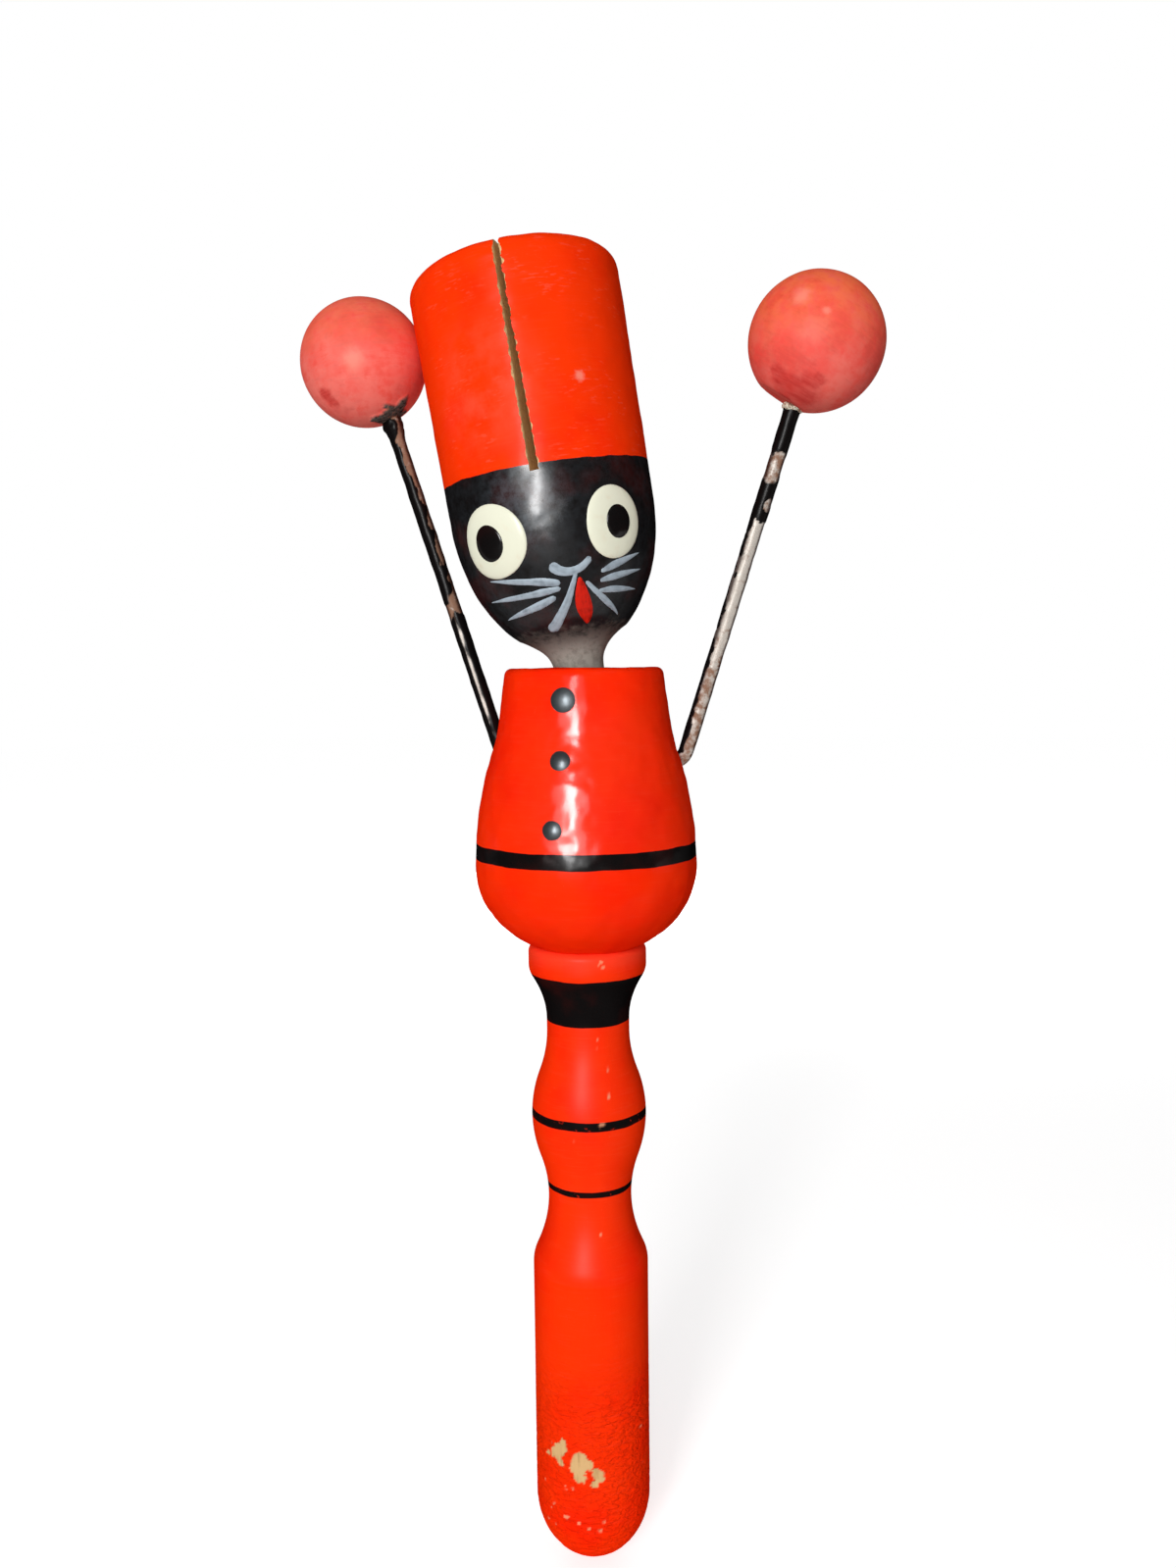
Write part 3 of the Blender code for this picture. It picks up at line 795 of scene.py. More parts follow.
def head_finish(colours):
    """Red hat over a black face and a dusty neck, with painted sheen on the hat and on the brow."""
    finish = Finish("hat_and_face_enamel")
    place = finish.place()
    rise = finish.axis(place, "Z")
    wander = (finish.noise(place, 5 * MM, 2.0) - 0.5) * 0.0007
    slope_x, slope_y = HAT_EDGE_SLOPE
    edge = finish.axis(place, "X") * slope_x + finish.axis(place, "Y") * slope_y + HAT_EDGE_RISE
    over_edge = rise - edge + wander
    red = red_enamel(finish, place, colours, warmth=0.52, roughness=0.50, gloss=0.12)
    # Painted sheen: a soft, cloudy patch of chalky red on the hat's left stands in for the lamp's sheen there
    near = finish.fall(finish.distance(place, SKIN.spot(*HAT_PAINTED_SHEEN)), 3 * MM, 14 * MM)
    painted_sheen = finish.step(finish.noise(place, 5 * MM, 4.0, 0.6), 0.30, 0.70) * near
    scuff_lines = finish.noise(finish.stretch(place, 0.35, 0.35, 1.6), 0.7 * MM, 3.0, 0.6)
    scuff = finish.step(scuff_lines, 0.56, 0.66) * finish.step(finish.noise(place, 6 * MM, 2.0), 0.46, 0.62)
    ragged = (finish.noise(place, 0.9 * MM, 4.0, 0.6) - 0.5) * 0.0012
    nick = finish.fall(finish.distance(place, SKIN.spot(*HAT_NICK)) + ragged, 0.35 * MM, 1.25 * MM)
    flat_place = finish.stretch(finish.shift(place, *-SKIN.spot(*HAT_SCRATCH)), 0.16, 0.16, 1.0)
    scratch = finish.fall(finish.distance(flat_place, (0.0, 0.0, 0.0)) + 0.4 * ragged, 0.15 * MM, 0.40 * MM)
    red = finish.lay(painted_sheen * 0.5, red, Coat(colours.chalky_red, 0.62, red.height))
    red = finish.lay(scuff * 0.45, red, Coat(colours.chalky_red, 0.68, red.height))
    red = finish.lay(nick * 0.75, red, Coat(colours.pale_red, 0.7, red.height - 0.05))
    # In the head this noise only mottles the dust and the film
    grime = finish.noise(place, 1.4 * MM, 5.0, 0.7)
    coat = black_enamel(finish, place, colours, thinness=1.0, gloss=1.0)
    # The face's film is faint dust all over, plus a painted sheen of grey-blue round the brow that stands in
    # for the lamp's haze on the enamel
    brow_sheen = finish.fall(finish.distance(place, SKIN.spot(*BROW_PAINTED_SHEEN)), 1 * MM, 10 * MM)
    dust_and_sheen_film = (0.12 * finish.noise(place, 6 * MM, 4.0) + 0.32 * brow_sheen) * finish.step(grime, 0.25, 0.75)
    coat = coat._replace(colour=finish.mix(dust_and_sheen_film, coat.colour, colours.thin_stroke))
    coat = finish.lay(scratch * 0.6, coat, Coat(colours.wood, 0.7, coat.height - 0.04))
    coat = finish.lay(finish.step(over_edge, -0.06 * MM, 0.06 * MM), coat, red)
    dusty = finish.fall(rise + (grime - 0.5) * 0.006, 8.2 * MM, 12.8 * MM)
    dust_colour = finish.mix(0.62 + 0.38 * finish.step(grime, 0.30, 0.60), colours.brown_black, colours.dust)
    dust = Coat(dust_colour, 0.75, 0.05 * grime)
    return finish.done(finish.lay(dusty, coat, dust), gloss_roughness=0.24)


def kerf_wood(colours):
    """Sawn wood inside the hat."""
    finish = Finish("sawn_wood")
    place = finish.place()
    saw = finish.noise(finish.stretch(place, 1.0, 0.2, 1.0), 0.35 * MM, 3.0)
    fibre = finish.noise(finish.stretch(place, 1.0, 1.0, 0.1), 0.5 * MM, 3.0)
    colour = finish.mix(finish.step(fibre, 0.42, 0.72) * 0.6, colours.sawn_wood, colours.wood)
    return finish.done(Coat(colour, 0.8, 0.05 * finish.step(saw, 0.3, 0.7)), gloss_roughness=0.5)


def kerf_cutter(chip, material):
    """Ragged blade for the saw cut: it widens where the paint has chipped at the hat's skin."""
    reach = (HAT_RADIUS + BLADE_PAST) * MM
    skin = HAT_RADIUS * MM
    edge = np.linspace(skin - 0.9 * MM, skin + 0.3 * MM, 9)
    deeps = np.concatenate([[-reach], -edge[::-1], np.linspace(-skin, skin, 14)[2:-2], edge, [reach]])
    rises = np.concatenate([np.arange(KERF_FLOOR, (HAT_RISE - 1.0) * MM, BLADE_STEP * MM),
                            np.linspace(HAT_RISE - 0.9, HAT_RISE + BLADE_PAST, 8) * MM])
    turn = Matrix.Rotation(KERF_TURN, 3, "Z")
    ring = [(1, deep) for deep in deeps] + [(-1, deep) for deep in reversed(deeps)]
    vertices = []
    for rise in rises:
        up = (rise - KERF_FLOOR) / (HAT_RISE * MM - KERF_FLOOR)
        to_top = smooth_step(rise, (HAT_RISE - 1.4) * MM, HAT_RISE * MM)
        for side, deep in ring:
            # Each side of the cut has its own ripples, at the front and at the back
            ragged = ripple(Vector((side * 31 * MM, math.copysign(17 * MM, deep), rise)), 1.4 * MM, 4)
            to_skin = smooth_step(abs(deep), skin - 0.8 * MM, skin - 0.1 * MM)
            half = KERF_HALF_FOOT + (KERF_HALF_TOP - KERF_HALF_FOOT) * up + 0.05 * MM * ragged
            half += chip * (0.75 + 0.25 * side) * max(0.0, ragged + 0.35) * max(to_skin, to_top)
            bow = KERF_BOW * math.cos(math.pi / 2 * min(1.0, abs(deep) / skin))
            vertices.append(turn @ Vector((side * half + bow, deep, rise)))
    return mesh_object("kerf_blade", vertices, tube(len(rises), len(ring)), [material])


class CLACKER_OT_head(bpy.types.Operator):
    """Turn the head, saw its hat and enamel it"""

    bl_idname = "clacker.head"
    bl_label = "Hat and face"

    def execute(self, context):
        colours, wear = context.scene.clacker_colours, context.scene.clacker_wear
        head = turned("hat_and_face", head_profile() * MM, HEAD_COLUMNS, [head_finish(colours)],
                      rippled(*HEAD_RIPPLE))
        wood = kerf_wood(colours)
        cut(head, kerf_cutter(wear.kerf_chip, wood))
        half = 2 * NECK_RADIUS
        profile = np.array([(0.0, -half), (NAIL_HOLE, -half), (NAIL_HOLE, half), (0.0, half)])
        drill = turned("nail_drill", profile * MM, SMALL_COLUMNS, [wood])
        drill.matrix_world = Matrix.Rotation(math.pi / 2, 4, "X")
        cut(head, drill)
        on_head(head, "head")
        return {"FINISHED"}


class CLACKER_OT_eyes(bpy.types.Operator):
    """Drop the cream eyes and their black pupils on the face"""

    bl_idname = "clacker.eyes"
    bl_label = "Eyes"

    def execute(self, context):
        colours, face = context.scene.clacker_colours, context.scene.clacker_face
        finish = Finish("cream_enamel")
        cloud = finish.noise(finish.place(), 2.5 * MM, 3.0)
        colour = finish.mix(finish.step(cloud, 0.55, 0.85) * 0.22, colours.cream, colours.wood)
        cream = finish.done(Coat(colour, 0.40 + 0.1 * cloud, 0.010 * cloud, 0.4), gloss_roughness=0.20)
        finish = Finish("pupil_enamel")
        coat = black_enamel(finish, finish.place(), colours, thinness=0.3, gloss=1.0)
        ink = finish.done(coat, gloss_roughness=0.15)
        for side in EYES:
            enamel_drop("eye_drop_" + side, EYES[side], 0.0, face.eye_lift, face.sink, cream)
            enamel_drop("pupil_" + side, PUPILS[side], face.eye_lift, face.pupil_lift, -face.eye_lift / 2,
                        ink)
        return {"FINISHED"}


def stroke_finish(name, thick, thin):
    """Brush-stroke paint with streaks along the stroke."""
    finish = Finish(name)
    across, along = finish.mask("across"), finish.mask("along")
    lines = finish.node("ShaderNodeCombineXYZ", {}, {"X": across * 1.5, "Y": along * 1.5})
    streak = finish.noise(lines, 1.0, 2.0)
    cloud = finish.noise(finish.place(), 1.2 * MM, 3.0)
    cover = finish.step(0.5 * streak + 0.5 * cloud, 0.22, 0.58)
    coat = Coat(finish.mix(cover, thin, thick), 0.42 + 0.1 * cloud, 0.02 * streak, 0.2)
    return finish.done(coat, gloss_roughness=0.25)


class CLACKER_OT_muzzle(bpy.types.Operator):
    """Brush the nose, mouth, tongue and whiskers on the face"""

    bl_idname = "clacker.muzzle"
    bl_label = "Muzzle"

    def execute(self, context):
        colours, face = context.scene.clacker_colours, context.scene.clacker_face
        grey = stroke_finish("brush_stroke_grey", colours.stroke, colours.thin_stroke)
        red = stroke_finish("tongue_red", colours.tongue, colours.deep_tongue)
        for name, strokes in STROKES.items():
            paint = red if name == "tongue_stroke" else grey
            brush_strokes(name, strokes, face.stroke_lift, face.sink, paint)
        return {"FINISHED"}


# Torso

# Painted band round the belly, the heights between which the chest turns glossy, those between which it turns
# dull again below the rim, and the radii between which the bore goes bare, in millimetres
BELLY_BAND = (97.0, 99.7)
CHEST_GLOSS = (95.0, 100.0)
RIM_DULL = (120.0, 126.0)
BORE_BARE = (6.2, 6.6)


def torso_profile():
    """Fine (radius, height) points of the torso, in millimetres, from its foot to the bore's floor."""
    foot = math.acos(TORSO_FOOT[0] / BELLY[0])
    drop = (BELLY[1] - TORSO_FOOT[1]) / math.sin(foot)
    underside = arc((0.0, BELLY[1]), BELLY[0], drop, -math.degrees(foot), 0.0)
    chest = ogee(CHEST_TOP, BELLY, EARLY_TURN)[::-1]
    chest = chest[chest[:, 1] < SHOULDER_FOOT]
    rim = arc((SHOULDER[0] - RIM_ROUND, SHOULDER[1]), RIM_ROUND, RIM_ROUND, 8.0, 90.0)
    shoulder = np.array([chest[-1], rim[0]])
    top = rim[-1][1]
    base = even([(0.0, TORSO_FOOT[1]), underside[0]], COARSE)
    lip = 0.45
    bore = even([rim[-1], (BORE_RADIUS + lip, top), (BORE_RADIUS, top - lip), (BORE_RADIUS, BORE_FLOOR),
                 (0.0, BORE_FLOOR)], COARSE)
    return joined(base, *[even(run, MEDIUM) for run in (underside, chest, shoulder)], even(rim, FINE), bore)


class CLACKER_OT_torso(bpy.types.Operator):
    """Turn the torso and enamel it"""

    bl_idname = "clacker.torso"
    bl_label = "Torso"

    def execute(self, context):
        colours = context.scene.clacker_colours
        finish = Finish("torso_enamel")
        place = finish.place()
        height = finish.axis(place, "Z")
        wander = (finish.noise(place, 7 * MM, 2.0) - 0.5) * 0.0006
        above_band = finish.step(height, *millimetres(CHEST_GLOSS))
        near_rim = finish.step(height, *millimetres(RIM_DULL))
        gloss = 0.15 + (0.85 - 0.75 * near_rim) * above_band
        coat = red_enamel(finish, place, colours, warmth=0.25, roughness=0.42, gloss=gloss)
        black = black_enamel(finish, place, colours, thinness=0.5, gloss=0.6)
        coat = finish.lay(band(finish, height, *BELLY_BAND, wander), coat, black)
        from_axis = finish.distance(finish.stretch(place, 1.0, 1.0, 0.0), (0.0, 0.0, 0.0))
        in_bore = finish.fall(from_axis, *millimetres(BORE_BARE))
        coat = finish.lay(in_bore, coat, bare_wood(finish, place, colours, depth=-0.1))
        paint = finish.done(coat, gloss_roughness=0.17)
        torso = turned("bell_torso", torso_profile() * MM, BODY_COLUMNS, [paint], rippled(*TORSO_RIPPLE))
        stand_for(torso, "torso", FIGURE)
        return {"FINISHED"}


# Handle

# Height in millimetres up to which the grip is worn
WORN_TOP = 4.0

# Painted bands in millimetres: the collar's cove, the ring's crest and a fine line
HANDLE_BANDS = ((67.3, 76.1), (49.7, 51.3), (36.6, 37.7))

# Heights in millimetres between which the grip's dull, creased and wrinkled paint ends, and between which the
# collar's chalky red begins, which is partly wear and partly painted sheen
GRIP_DULL = (21.2, 21.8)
GRIP_CREASED = (-6.0, 12.0)
GRIP_WRINKLED = (-8.0, 11.0)
COLLAR_SHEEN_AND_WEAR = (77.0, 80.5)

# Paint chipped off the grip, paint left inside the chips, and small flecks rubbed off the handle, as turn in
# degrees, height and radius in millimetres
CHIPS = ((-21.0, -9.3, 1.35), (-17.5, -8.3, 0.9), (-27.0, -10.5, 1.1), (-21.0, -11.5, 0.9),
         (-36.0, -11.2, 0.5), (1.5, -10.3, 1.3), (-1.0, -11.9, 1.6), (2.0, -13.4, 1.3), (9.0, -11.3, 1.0),
         (17.0, -12.8, 1.1), (19.5, -13.9, 0.9), (15.0, -14.8, 0.8))
CHIP_ISLANDS = ((9.8, -13.1, 0.75),)
FLECKS = ((26.6, 65.2, 0.35), (24.3, 63.8, 0.45), (37.9, 60.1, 0.3), (35.4, 55.7, 0.45), (24.9, 50.9, 0.6),
          (-1.2, 47.8, 0.3), (19.3, 48.3, 0.25), (26.8, 30.2, 0.5), (24.5, 79.2, 0.35), (27.2, 79.7, 0.4),
          (26.2, 78.5, 0.35), (29.0, 78.8, 0.4), (68.8, -6.8, 0.6), (-30.5, -8.8, 0.4), (-13.5, -16.3, 0.55),
          (-7.4, -16.0, 0.4), (-41.8, -16.8, 0.4), (-28.6, -20.3, 0.4), (-33.0, -21.4, 0.4),
          (-37.4, -24.1, 0.4), (-28.0, -24.3, 0.35), (-13.1, -21.7, 0.5), (-1.2, -22.4, 0.35),
          (8.5, -23.3, 0.45), (20.4, -23.7, 0.45), (24.1, -22.1, 0.3), (73.0, -13.9, 0.4),
          (150.0, -18.9, 1.0), (190.0, -9.9, 0.7), (230.0, -20.9, 0.7), (120.0, -3.9, 0.5),
          (205.0, 50.5, 0.6))


def handle_profile():
    """Fine (radius, height) points of the handle, in millimetres, from its round end to the collar's top."""
    dome = even(arc((0.0, -GRIP_TOP), GRIP_RADIUS, END_DOME, -90.0, 0.0), FINE)
    worn = even([(GRIP_RADIUS, -GRIP_TOP), (GRIP_RADIUS, WORN_TOP)], FINE)
    grip = np.array([(GRIP_RADIUS, WORN_TOP), (GRIP_RADIUS, GRIP_TOP)])
    side = np.array([COLLAR, (COLLAR[0], COLLAR_TOP - COLLAR_EDGE)])
    edge = arc((COLLAR[0] - COLLAR_EDGE, COLLAR_TOP - COLLAR_EDGE), COLLAR_EDGE, COLLAR_EDGE, 0.0, 90.0)
    top = np.array([edge[-1], (0.0, COLLAR_TOP)])
    shapes = [grip, ogee(LOWER_WAIST, (GRIP_RADIUS, GRIP_TOP), LATE_TURN)[::-1],
              ogee(LOWER_WAIST, RING_CREST, EVEN_TURN), ogee(UPPER_WAIST, RING_CREST, EVEN_TURN)[::-1],
              np.array([UPPER_WAIST, UPPER_WAIST_TOP]), ogee(UPPER_WAIST_TOP, COLLAR, LATE_TURN), side]
    return joined(dome, worn, *[even(shape, MEDIUM) for shape in shapes], even(edge, FINE / 2),
                  even(top, COARSE))


def spots(point, places):
    """How far inside the nearest of some spots on the handle a point is, in millimetres, or below 0."""
    turn = math.atan2(point.x, -point.y)
    deepest = -10.0
    for spot_turn, height, radius in places:
        around = (turn - math.radians(spot_turn) + math.pi) % (2 * math.pi) - math.pi
        deepest = max(deepest, radius - math.hypot(around * GRIP_RADIUS, point.z / MM - height))
    return deepest


def handle_wear(wear):
    """Wear of the handle: chips, flecks, and wrinkled paint towards the round end."""
    def at(point):
        ragged = 0.45 * ripple(point, 0.9 * MM, 3)
        bare = smooth_step(spots(point, CHIPS) + ragged, -0.06, 0.12)
        bare *= 1.0 - smooth_step(spots(point, CHIP_ISLANDS) + ragged, -0.06, 0.12)
        fleck = smooth_step(spots(point, FLECKS) + 1.1 * ragged - 0.15, -0.05, 0.20)
        wrinkled = 1.0 - smooth_step(point.z, *millimetres(GRIP_WRINKLED))
        fold = 1.0 - abs(ripple(Vector((point.x, point.y, point.z * 2.0)), 2.4 * MM, 3))
        crease = wear.wrinkle * wrinkled * (fold - 0.6)
        return crease - wear.chip_depth * bare, {"bare": bare, "fleck": fleck * (1.0 - bare)}
    return at


class CLACKER_OT_handle(bpy.types.Operator):
    """Turn the handle, chip its grip and enamel it"""

    bl_idname = "clacker.handle"
    bl_label = "Handle"

    def execute(self, context):
        colours, wear = context.scene.clacker_colours, context.scene.clacker_wear
        finish = Finish("handle_enamel")
        place = finish.place()
        height = finish.axis(place, "Z")
        wander = (finish.noise(place, 6 * MM, 2.0) - 0.5) * 0.0005
        held = finish.fall(height + wander, *millimetres(GRIP_DULL))
        coat = red_enamel(finish, place, colours, warmth=0.38, roughness=0.45, gloss=0.24 - 0.16 * held)
        black = black_enamel(finish, place, colours, thinness=0.7, gloss=0.10)
        rubbed = finish.step(finish.noise(place, 0.8 * MM, 3.0), 0.64, 0.72)
        coat = finish.lay(band(finish, height, *HANDLE_BANDS[0], wander), coat, black)
        for lines in HANDLE_BANDS[1:]:
            coat = finish.lay(band(finish, height, *lines, wander) * (1.0 - 0.3 * rubbed), coat, black)
        # Collar: chalky red over its top, partly rubbed paint and partly a painted sheen where its edge meets
        # the light
        collar_sheen_and_wear = 0.30 * finish.step(height, *millimetres(COLLAR_SHEEN_AND_WEAR))
        coat = finish.lay(collar_sheen_and_wear, coat, Coat(colours.chalky_red, 0.5, coat.height))
        creased = finish.fall(height + 30 * wander, *millimetres(GRIP_CREASED))
        folds = finish.noise(finish.stretch(place, 1.0, 1.0, 2.0), 1.5 * MM, 3.0, 0.55, 0.6)
        grain = finish.noise(finish.stretch(place, 1.0, 1.0, 0.05), 0.40 * MM, 3.0)
        crease = 0.22 * creased * finish.step(folds, 0.35, 0.65)
        coat = coat._replace(height=coat.height + crease + 0.03 * grain)
        fleck_colour = Vector(colours.pale_red).lerp(Vector(colours.wood), 0.5)
        coat = finish.lay(finish.mask("fleck") * 0.75, coat, Coat(fleck_colour, 0.6, 0.0))
        coat = finish.lay(finish.mask("bare"), coat, bare_wood(finish, place, colours, depth=0.0))
        paint = finish.done(coat, gloss_roughness=0.40)
        handle = turned("turned_handle", handle_profile() * MM, BODY_COLUMNS, [paint], handle_wear(wear))
        stand_for(handle, "handle", FIGURE)
        return {"FINISHED"}


# Buttons

# Solids of the nails, from the top one down
BUTTONS = ("pivot_nail", "button_tack_middle", "button_tack_lower")

# Height of a button's dome and of its whole head, and how far its rim lies inside the solid's, in
# millimetres; then the shank's share of the head's radius
BUTTON_DOME = 0.42
BUTTON_SKIRT = 0.90
BUTTON_INSET = 0.12
SHANK_SHARE = 0.4


def button_profile(radius, length):
    """(radius, height) points of a domed nail, in metres, from its point to its dome, whose top is at 0."""
    dome, skirt = BUTTON_DOME * MM, BUTTON_SKIRT * MM
    shank = [(0.0, -length), (radius * SHANK_SHARE, -length * 0.85), (radius * SHANK_SHARE, -skirt),
             (radius * 0.98, -skirt), (radius, -dome)]
    shares = np.sin(np.linspace(math.pi / 2, 0.0, 15))
    cap = np.stack([radius * shares, -dome * shares ** 2], axis=1)
    return joined(np.array(shank), cap)


class CLACKER_OT_buttons(bpy.types.Operator):
    """Make the nail and the tacks whose heads are the buttons"""

    bl_idname = "clacker.buttons"
    bl_label = "Buttons"

    def execute(self, context):
        colours = context.scene.clacker_colours
        finish = Finish("worn_nail_heads")
        worn = finish.noise(finish.place(), 0.9 * MM, 4.0, 0.6)
        colour = finish.mix(finish.step(worn, 0.60, 0.72) * 0.6, colours.nail, colours.black)
        coat = Coat(colour, 0.30 + 0.1 * worn, 0.01 * worn)
        material = finish.done(coat, gloss_roughness=0.3, metallic=0.9)
        chest = torso_profile() * MM
        chest = chest[(chest[:, 1] > BELLY[1] * MM) & (chest[:, 0] > CHEST_TOP[0] * MM * 0.9)]
        for node in BUTTONS:
            low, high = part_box(node)
            radius, length = (high.x - low.x) / 2 - BUTTON_INSET * MM, high.y - low.y
            button = turned("domed_" + node, button_profile(radius, length), SMALL_COLUMNS, [material],
                            rippled(*BUTTON_RIPPLE))
            front = Vector(((low.x + high.x) / 2, low.y, (low.z + high.z) / 2))
            under, over = np.interp((front.z - radius, front.z + radius), chest[:, 1], chest[:, 0])
            # The head leans back with the chest; the shank stays level
            lean_back = math.atan2(under - over, 2 * radius)
            for vertex in button.data.vertices:
                if vertex.co.z > -BUTTON_SKIRT * MM * 1.1:
                    vertex.co.z -= vertex.co.y * math.tan(lean_back)
            turn = Matrix.Rotation(math.atan2(front.x, -front.y), 4, "Z")
            button.matrix_world = Matrix.Translation(front) @ turn @ Matrix.Rotation(math.pi / 2, 4, "X")
            stand_for(button, node, FIGURE)
        return {"FINISHED"}


# Wire arms

# Sizes of the wire in metres, then columns round it, spacing along it and steps round an elbow
ELBOW_RADIUS = 2.9 * MM
WIRE_RADIUS = 1.35 * MM
WIRE_COLUMNS = 28
WIRE_STEP = 0.35 * MM
ELBOW_STEPS = 12

# Turn from +X to the way that the arms' right sides face, by which flakes and the painted shade on the arms'
# sides are placed
RIGHT_SIDE_TURN = math.radians(14.0)

# Where each arm's paint starts or thins, and the middle and half length of a bare gap in it, as shares of the
# arm's length; then a chip on the right arm, as share, place across and size, and how far across the left arm
# its bright steel streak runs, which is a painted highlight
RIGHT_PAINT_FROM = 0.706
RIGHT_GAP = (0.857, 0.034)
RIGHT_CHIP = (0.755, 0.55, 0.40)
LEFT_THIN_FROM = 0.50
LEFT_GAP = (0.461, 0.028)
LEFT_GLINT_STREAK = -0.15


def wire_route():
    """Centre line of the wire, from inside the left ball through the torso to inside the right ball."""
    route = []
    for side, way in (("left", -1), ("right", 1)):
        elbow, end = ELBOWS[side], WIRE_ENDS[side]
        up = (end - elbow).normalized()
        outwards = Vector((way, 0.0, 0.0))
        angle = outwards.angle(up)
        inwards = (up - outwards * outwards.dot(up)).normalized()
        start = elbow - outwards * ELBOW_RADIUS * math.tan(angle / 2)
        turns = [angle * step / ELBOW_STEPS for step in range(ELBOW_STEPS + 1)]
        half = [start + ELBOW_RADIUS * (outwards * math.sin(t) + inwards * (1 - math.cos(t))) for t in turns]
        half.append(end)
        route += half[::way]
    return even([tuple(point) for point in route], WIRE_STEP)


def right_arm_paint(share, across, rough):
    """Paint left on the right arm at a share of its length: below 0 is bare, as most of it is."""
    if share < RIGHT_PAINT_FROM + 0.02 * rough:
        edge = -0.86 + 0.30 * smooth_step(share, 0.40, 0.22)
        return edge - across + 0.55 * rough
    gap = abs(share - RIGHT_GAP[0]) - RIGHT_GAP[1]
    chip = math.hypot(26 * (share - RIGHT_CHIP[0]), across - RIGHT_CHIP[1]) - RIGHT_CHIP[2]
    return min(gap * 9, chip) + 0.22 * rough


def left_arm_paint(share, across, rough):
    """Paint left on the left arm at a share of its length: below 0 is bare, as on the right near the ball."""
    if share > LEFT_THIN_FROM:
        edge = 0.62 - 0.50 * smooth_step(share, 0.77, 0.87)
        return edge - across + 0.55 * rough
    gap = abs(share - LEFT_GAP[0]) - LEFT_GAP[1]
    # Painted highlight: a bare, clean steel streak along the left arm's lower part stands in for the lamp's
    # glint on its black paint
    streak = abs(across - LEFT_GLINT_STREAK) - 0.11 * smooth_step(share, 0.02, 0.20) - 0.02
    return min(gap * 9 + 0.3 * rough, 0.5 * streak + 0.08 * rough)


PAINT_LEFT = {"left": left_arm_paint, "right": right_arm_paint}

# How rusty the bare steel of each arm is, as (share of the arm's length, rustiness); below its gap the left
# arm stays clean, for its painted highlight
RUSTINESS = {"left": ((0.40, 0.0), (0.44, 0.9)),
             "right": ((0.05, 0.65), (0.28, 0.55), (0.42, 0.2), (0.70, 0.2), (0.80, 0.6))}


def wire_finish(colours):
    """Black paint that has flaked off rusty steel, whose bare steel has painted shade towards its sides."""
    finish = Finish("flaked_wire_paint")
    place = finish.place()
    bare, rusty, grime = finish.mask("bare"), finish.mask("rust"), finish.mask("grime")
    spot = finish.noise(place, 1.3 * MM, 4.0, 0.65)
    rusted = finish.step(spot + 0.5 * rusty - 0.25, 0.38, 0.66)
    colour = finish.mix(rusted, colours.steel, colours.rust)
    # Painted shade: the bare steel darkens to brown-black towards the wire's sides, as seen from the front
    colour = finish.mix(finish.step(grime + 0.5 * (spot - 0.5), 0.2, 0.9) * 0.85, colour, colours.brown_black)
    metal = Coat(colour, 0.45 + 0.2 * rusted, 0.05 * spot, 0.5 - 0.4 * rusted)
    paint = black_enamel(finish, place, colours, thinness=0.0, gloss=0.25)
    edge = finish.step(bare, 0.2, 0.8)
    coat = finish.lay(edge, paint, metal)
    return finish.done(coat, gloss_roughness=0.30, metallic=edge * (0.2 - 0.2 * rusted))


class CLACKER_OT_wire(bpy.types.Operator):
    """Bend the wire and flake its paint"""

    bl_idname = "clacker.wire"
    bl_label = "Wire arms"

    def execute(self, context):
        wear = context.scene.clacker_wear
        route = [Vector(point) for point in wire_route()]
        vertices, bares, rusts, edge_shades = [], [], [], []
        rightwards = Vector((math.cos(RIGHT_SIDE_TURN), math.sin(RIGHT_SIDE_TURN), 0.0))
        for index, centre in enumerate(route):
            forward = (route[min(index + 1, len(route) - 1)] - route[max(index - 1, 0)]).normalized()
            deep = forward.cross(Vector((0.0, 1.0, 0.0)).cross(forward)).normalized()
            across = deep.cross(forward)
            side = "right" if centre.x > 0 else "left"
            low = ELBOWS[side].z
            share = (centre.z - low) / (BALLS[side].z - BALL_RADIUS - low)
            lump = smooth_step(share, 0.93, 1.0) * wear.daub if side == "left" else 0.0
            rust = np.interp(share, *zip(*RUSTINESS[side]))
            dent = 0.07 * MM * ripple(centre, 3.2 * MM, 2)
            for column in range(WIRE_COLUMNS):
                angle = 2 * math.pi * column / WIRE_COLUMNS
                out = across * math.cos(angle) + deep * math.sin(angle)
                skin = centre + out * WIRE_RADIUS
                rough = ripple(Vector((skin.x, skin.y, skin.z * 0.55)), 1.9 * MM, 4)
                bare = 1.0 - smooth_step(PAINT_LEFT[side](share, out.dot(rightwards), rough), -0.10, 0.10)
                bares.append(bare)
                rusts.append(rust)
                # Painted shade mask: 1 on the wire's sides as seen from the front, 0 in its middle
                edge_shades.append(smooth_step(abs(out.dot(rightwards)), 0.25, 0.95))
                lift = wear.flake * (0.5 - bare) + 0.05 * MM * rough + dent
                lift += lump * (0.6 + 0.8 * rough)
                vertices.append(skin + out * lift)
        finish = wire_finish(context.scene.clacker_colours)
        masks = {"bare": bares, "rust": rusts, "grime": edge_shades}
        wire = mesh_object("bent_wire", vertices, tube(len(route), WIRE_COLUMNS), [finish], masks)
        stand_for(wire, "arm_wire", FIGURE)
        return {"FINISHED"}


# Balls

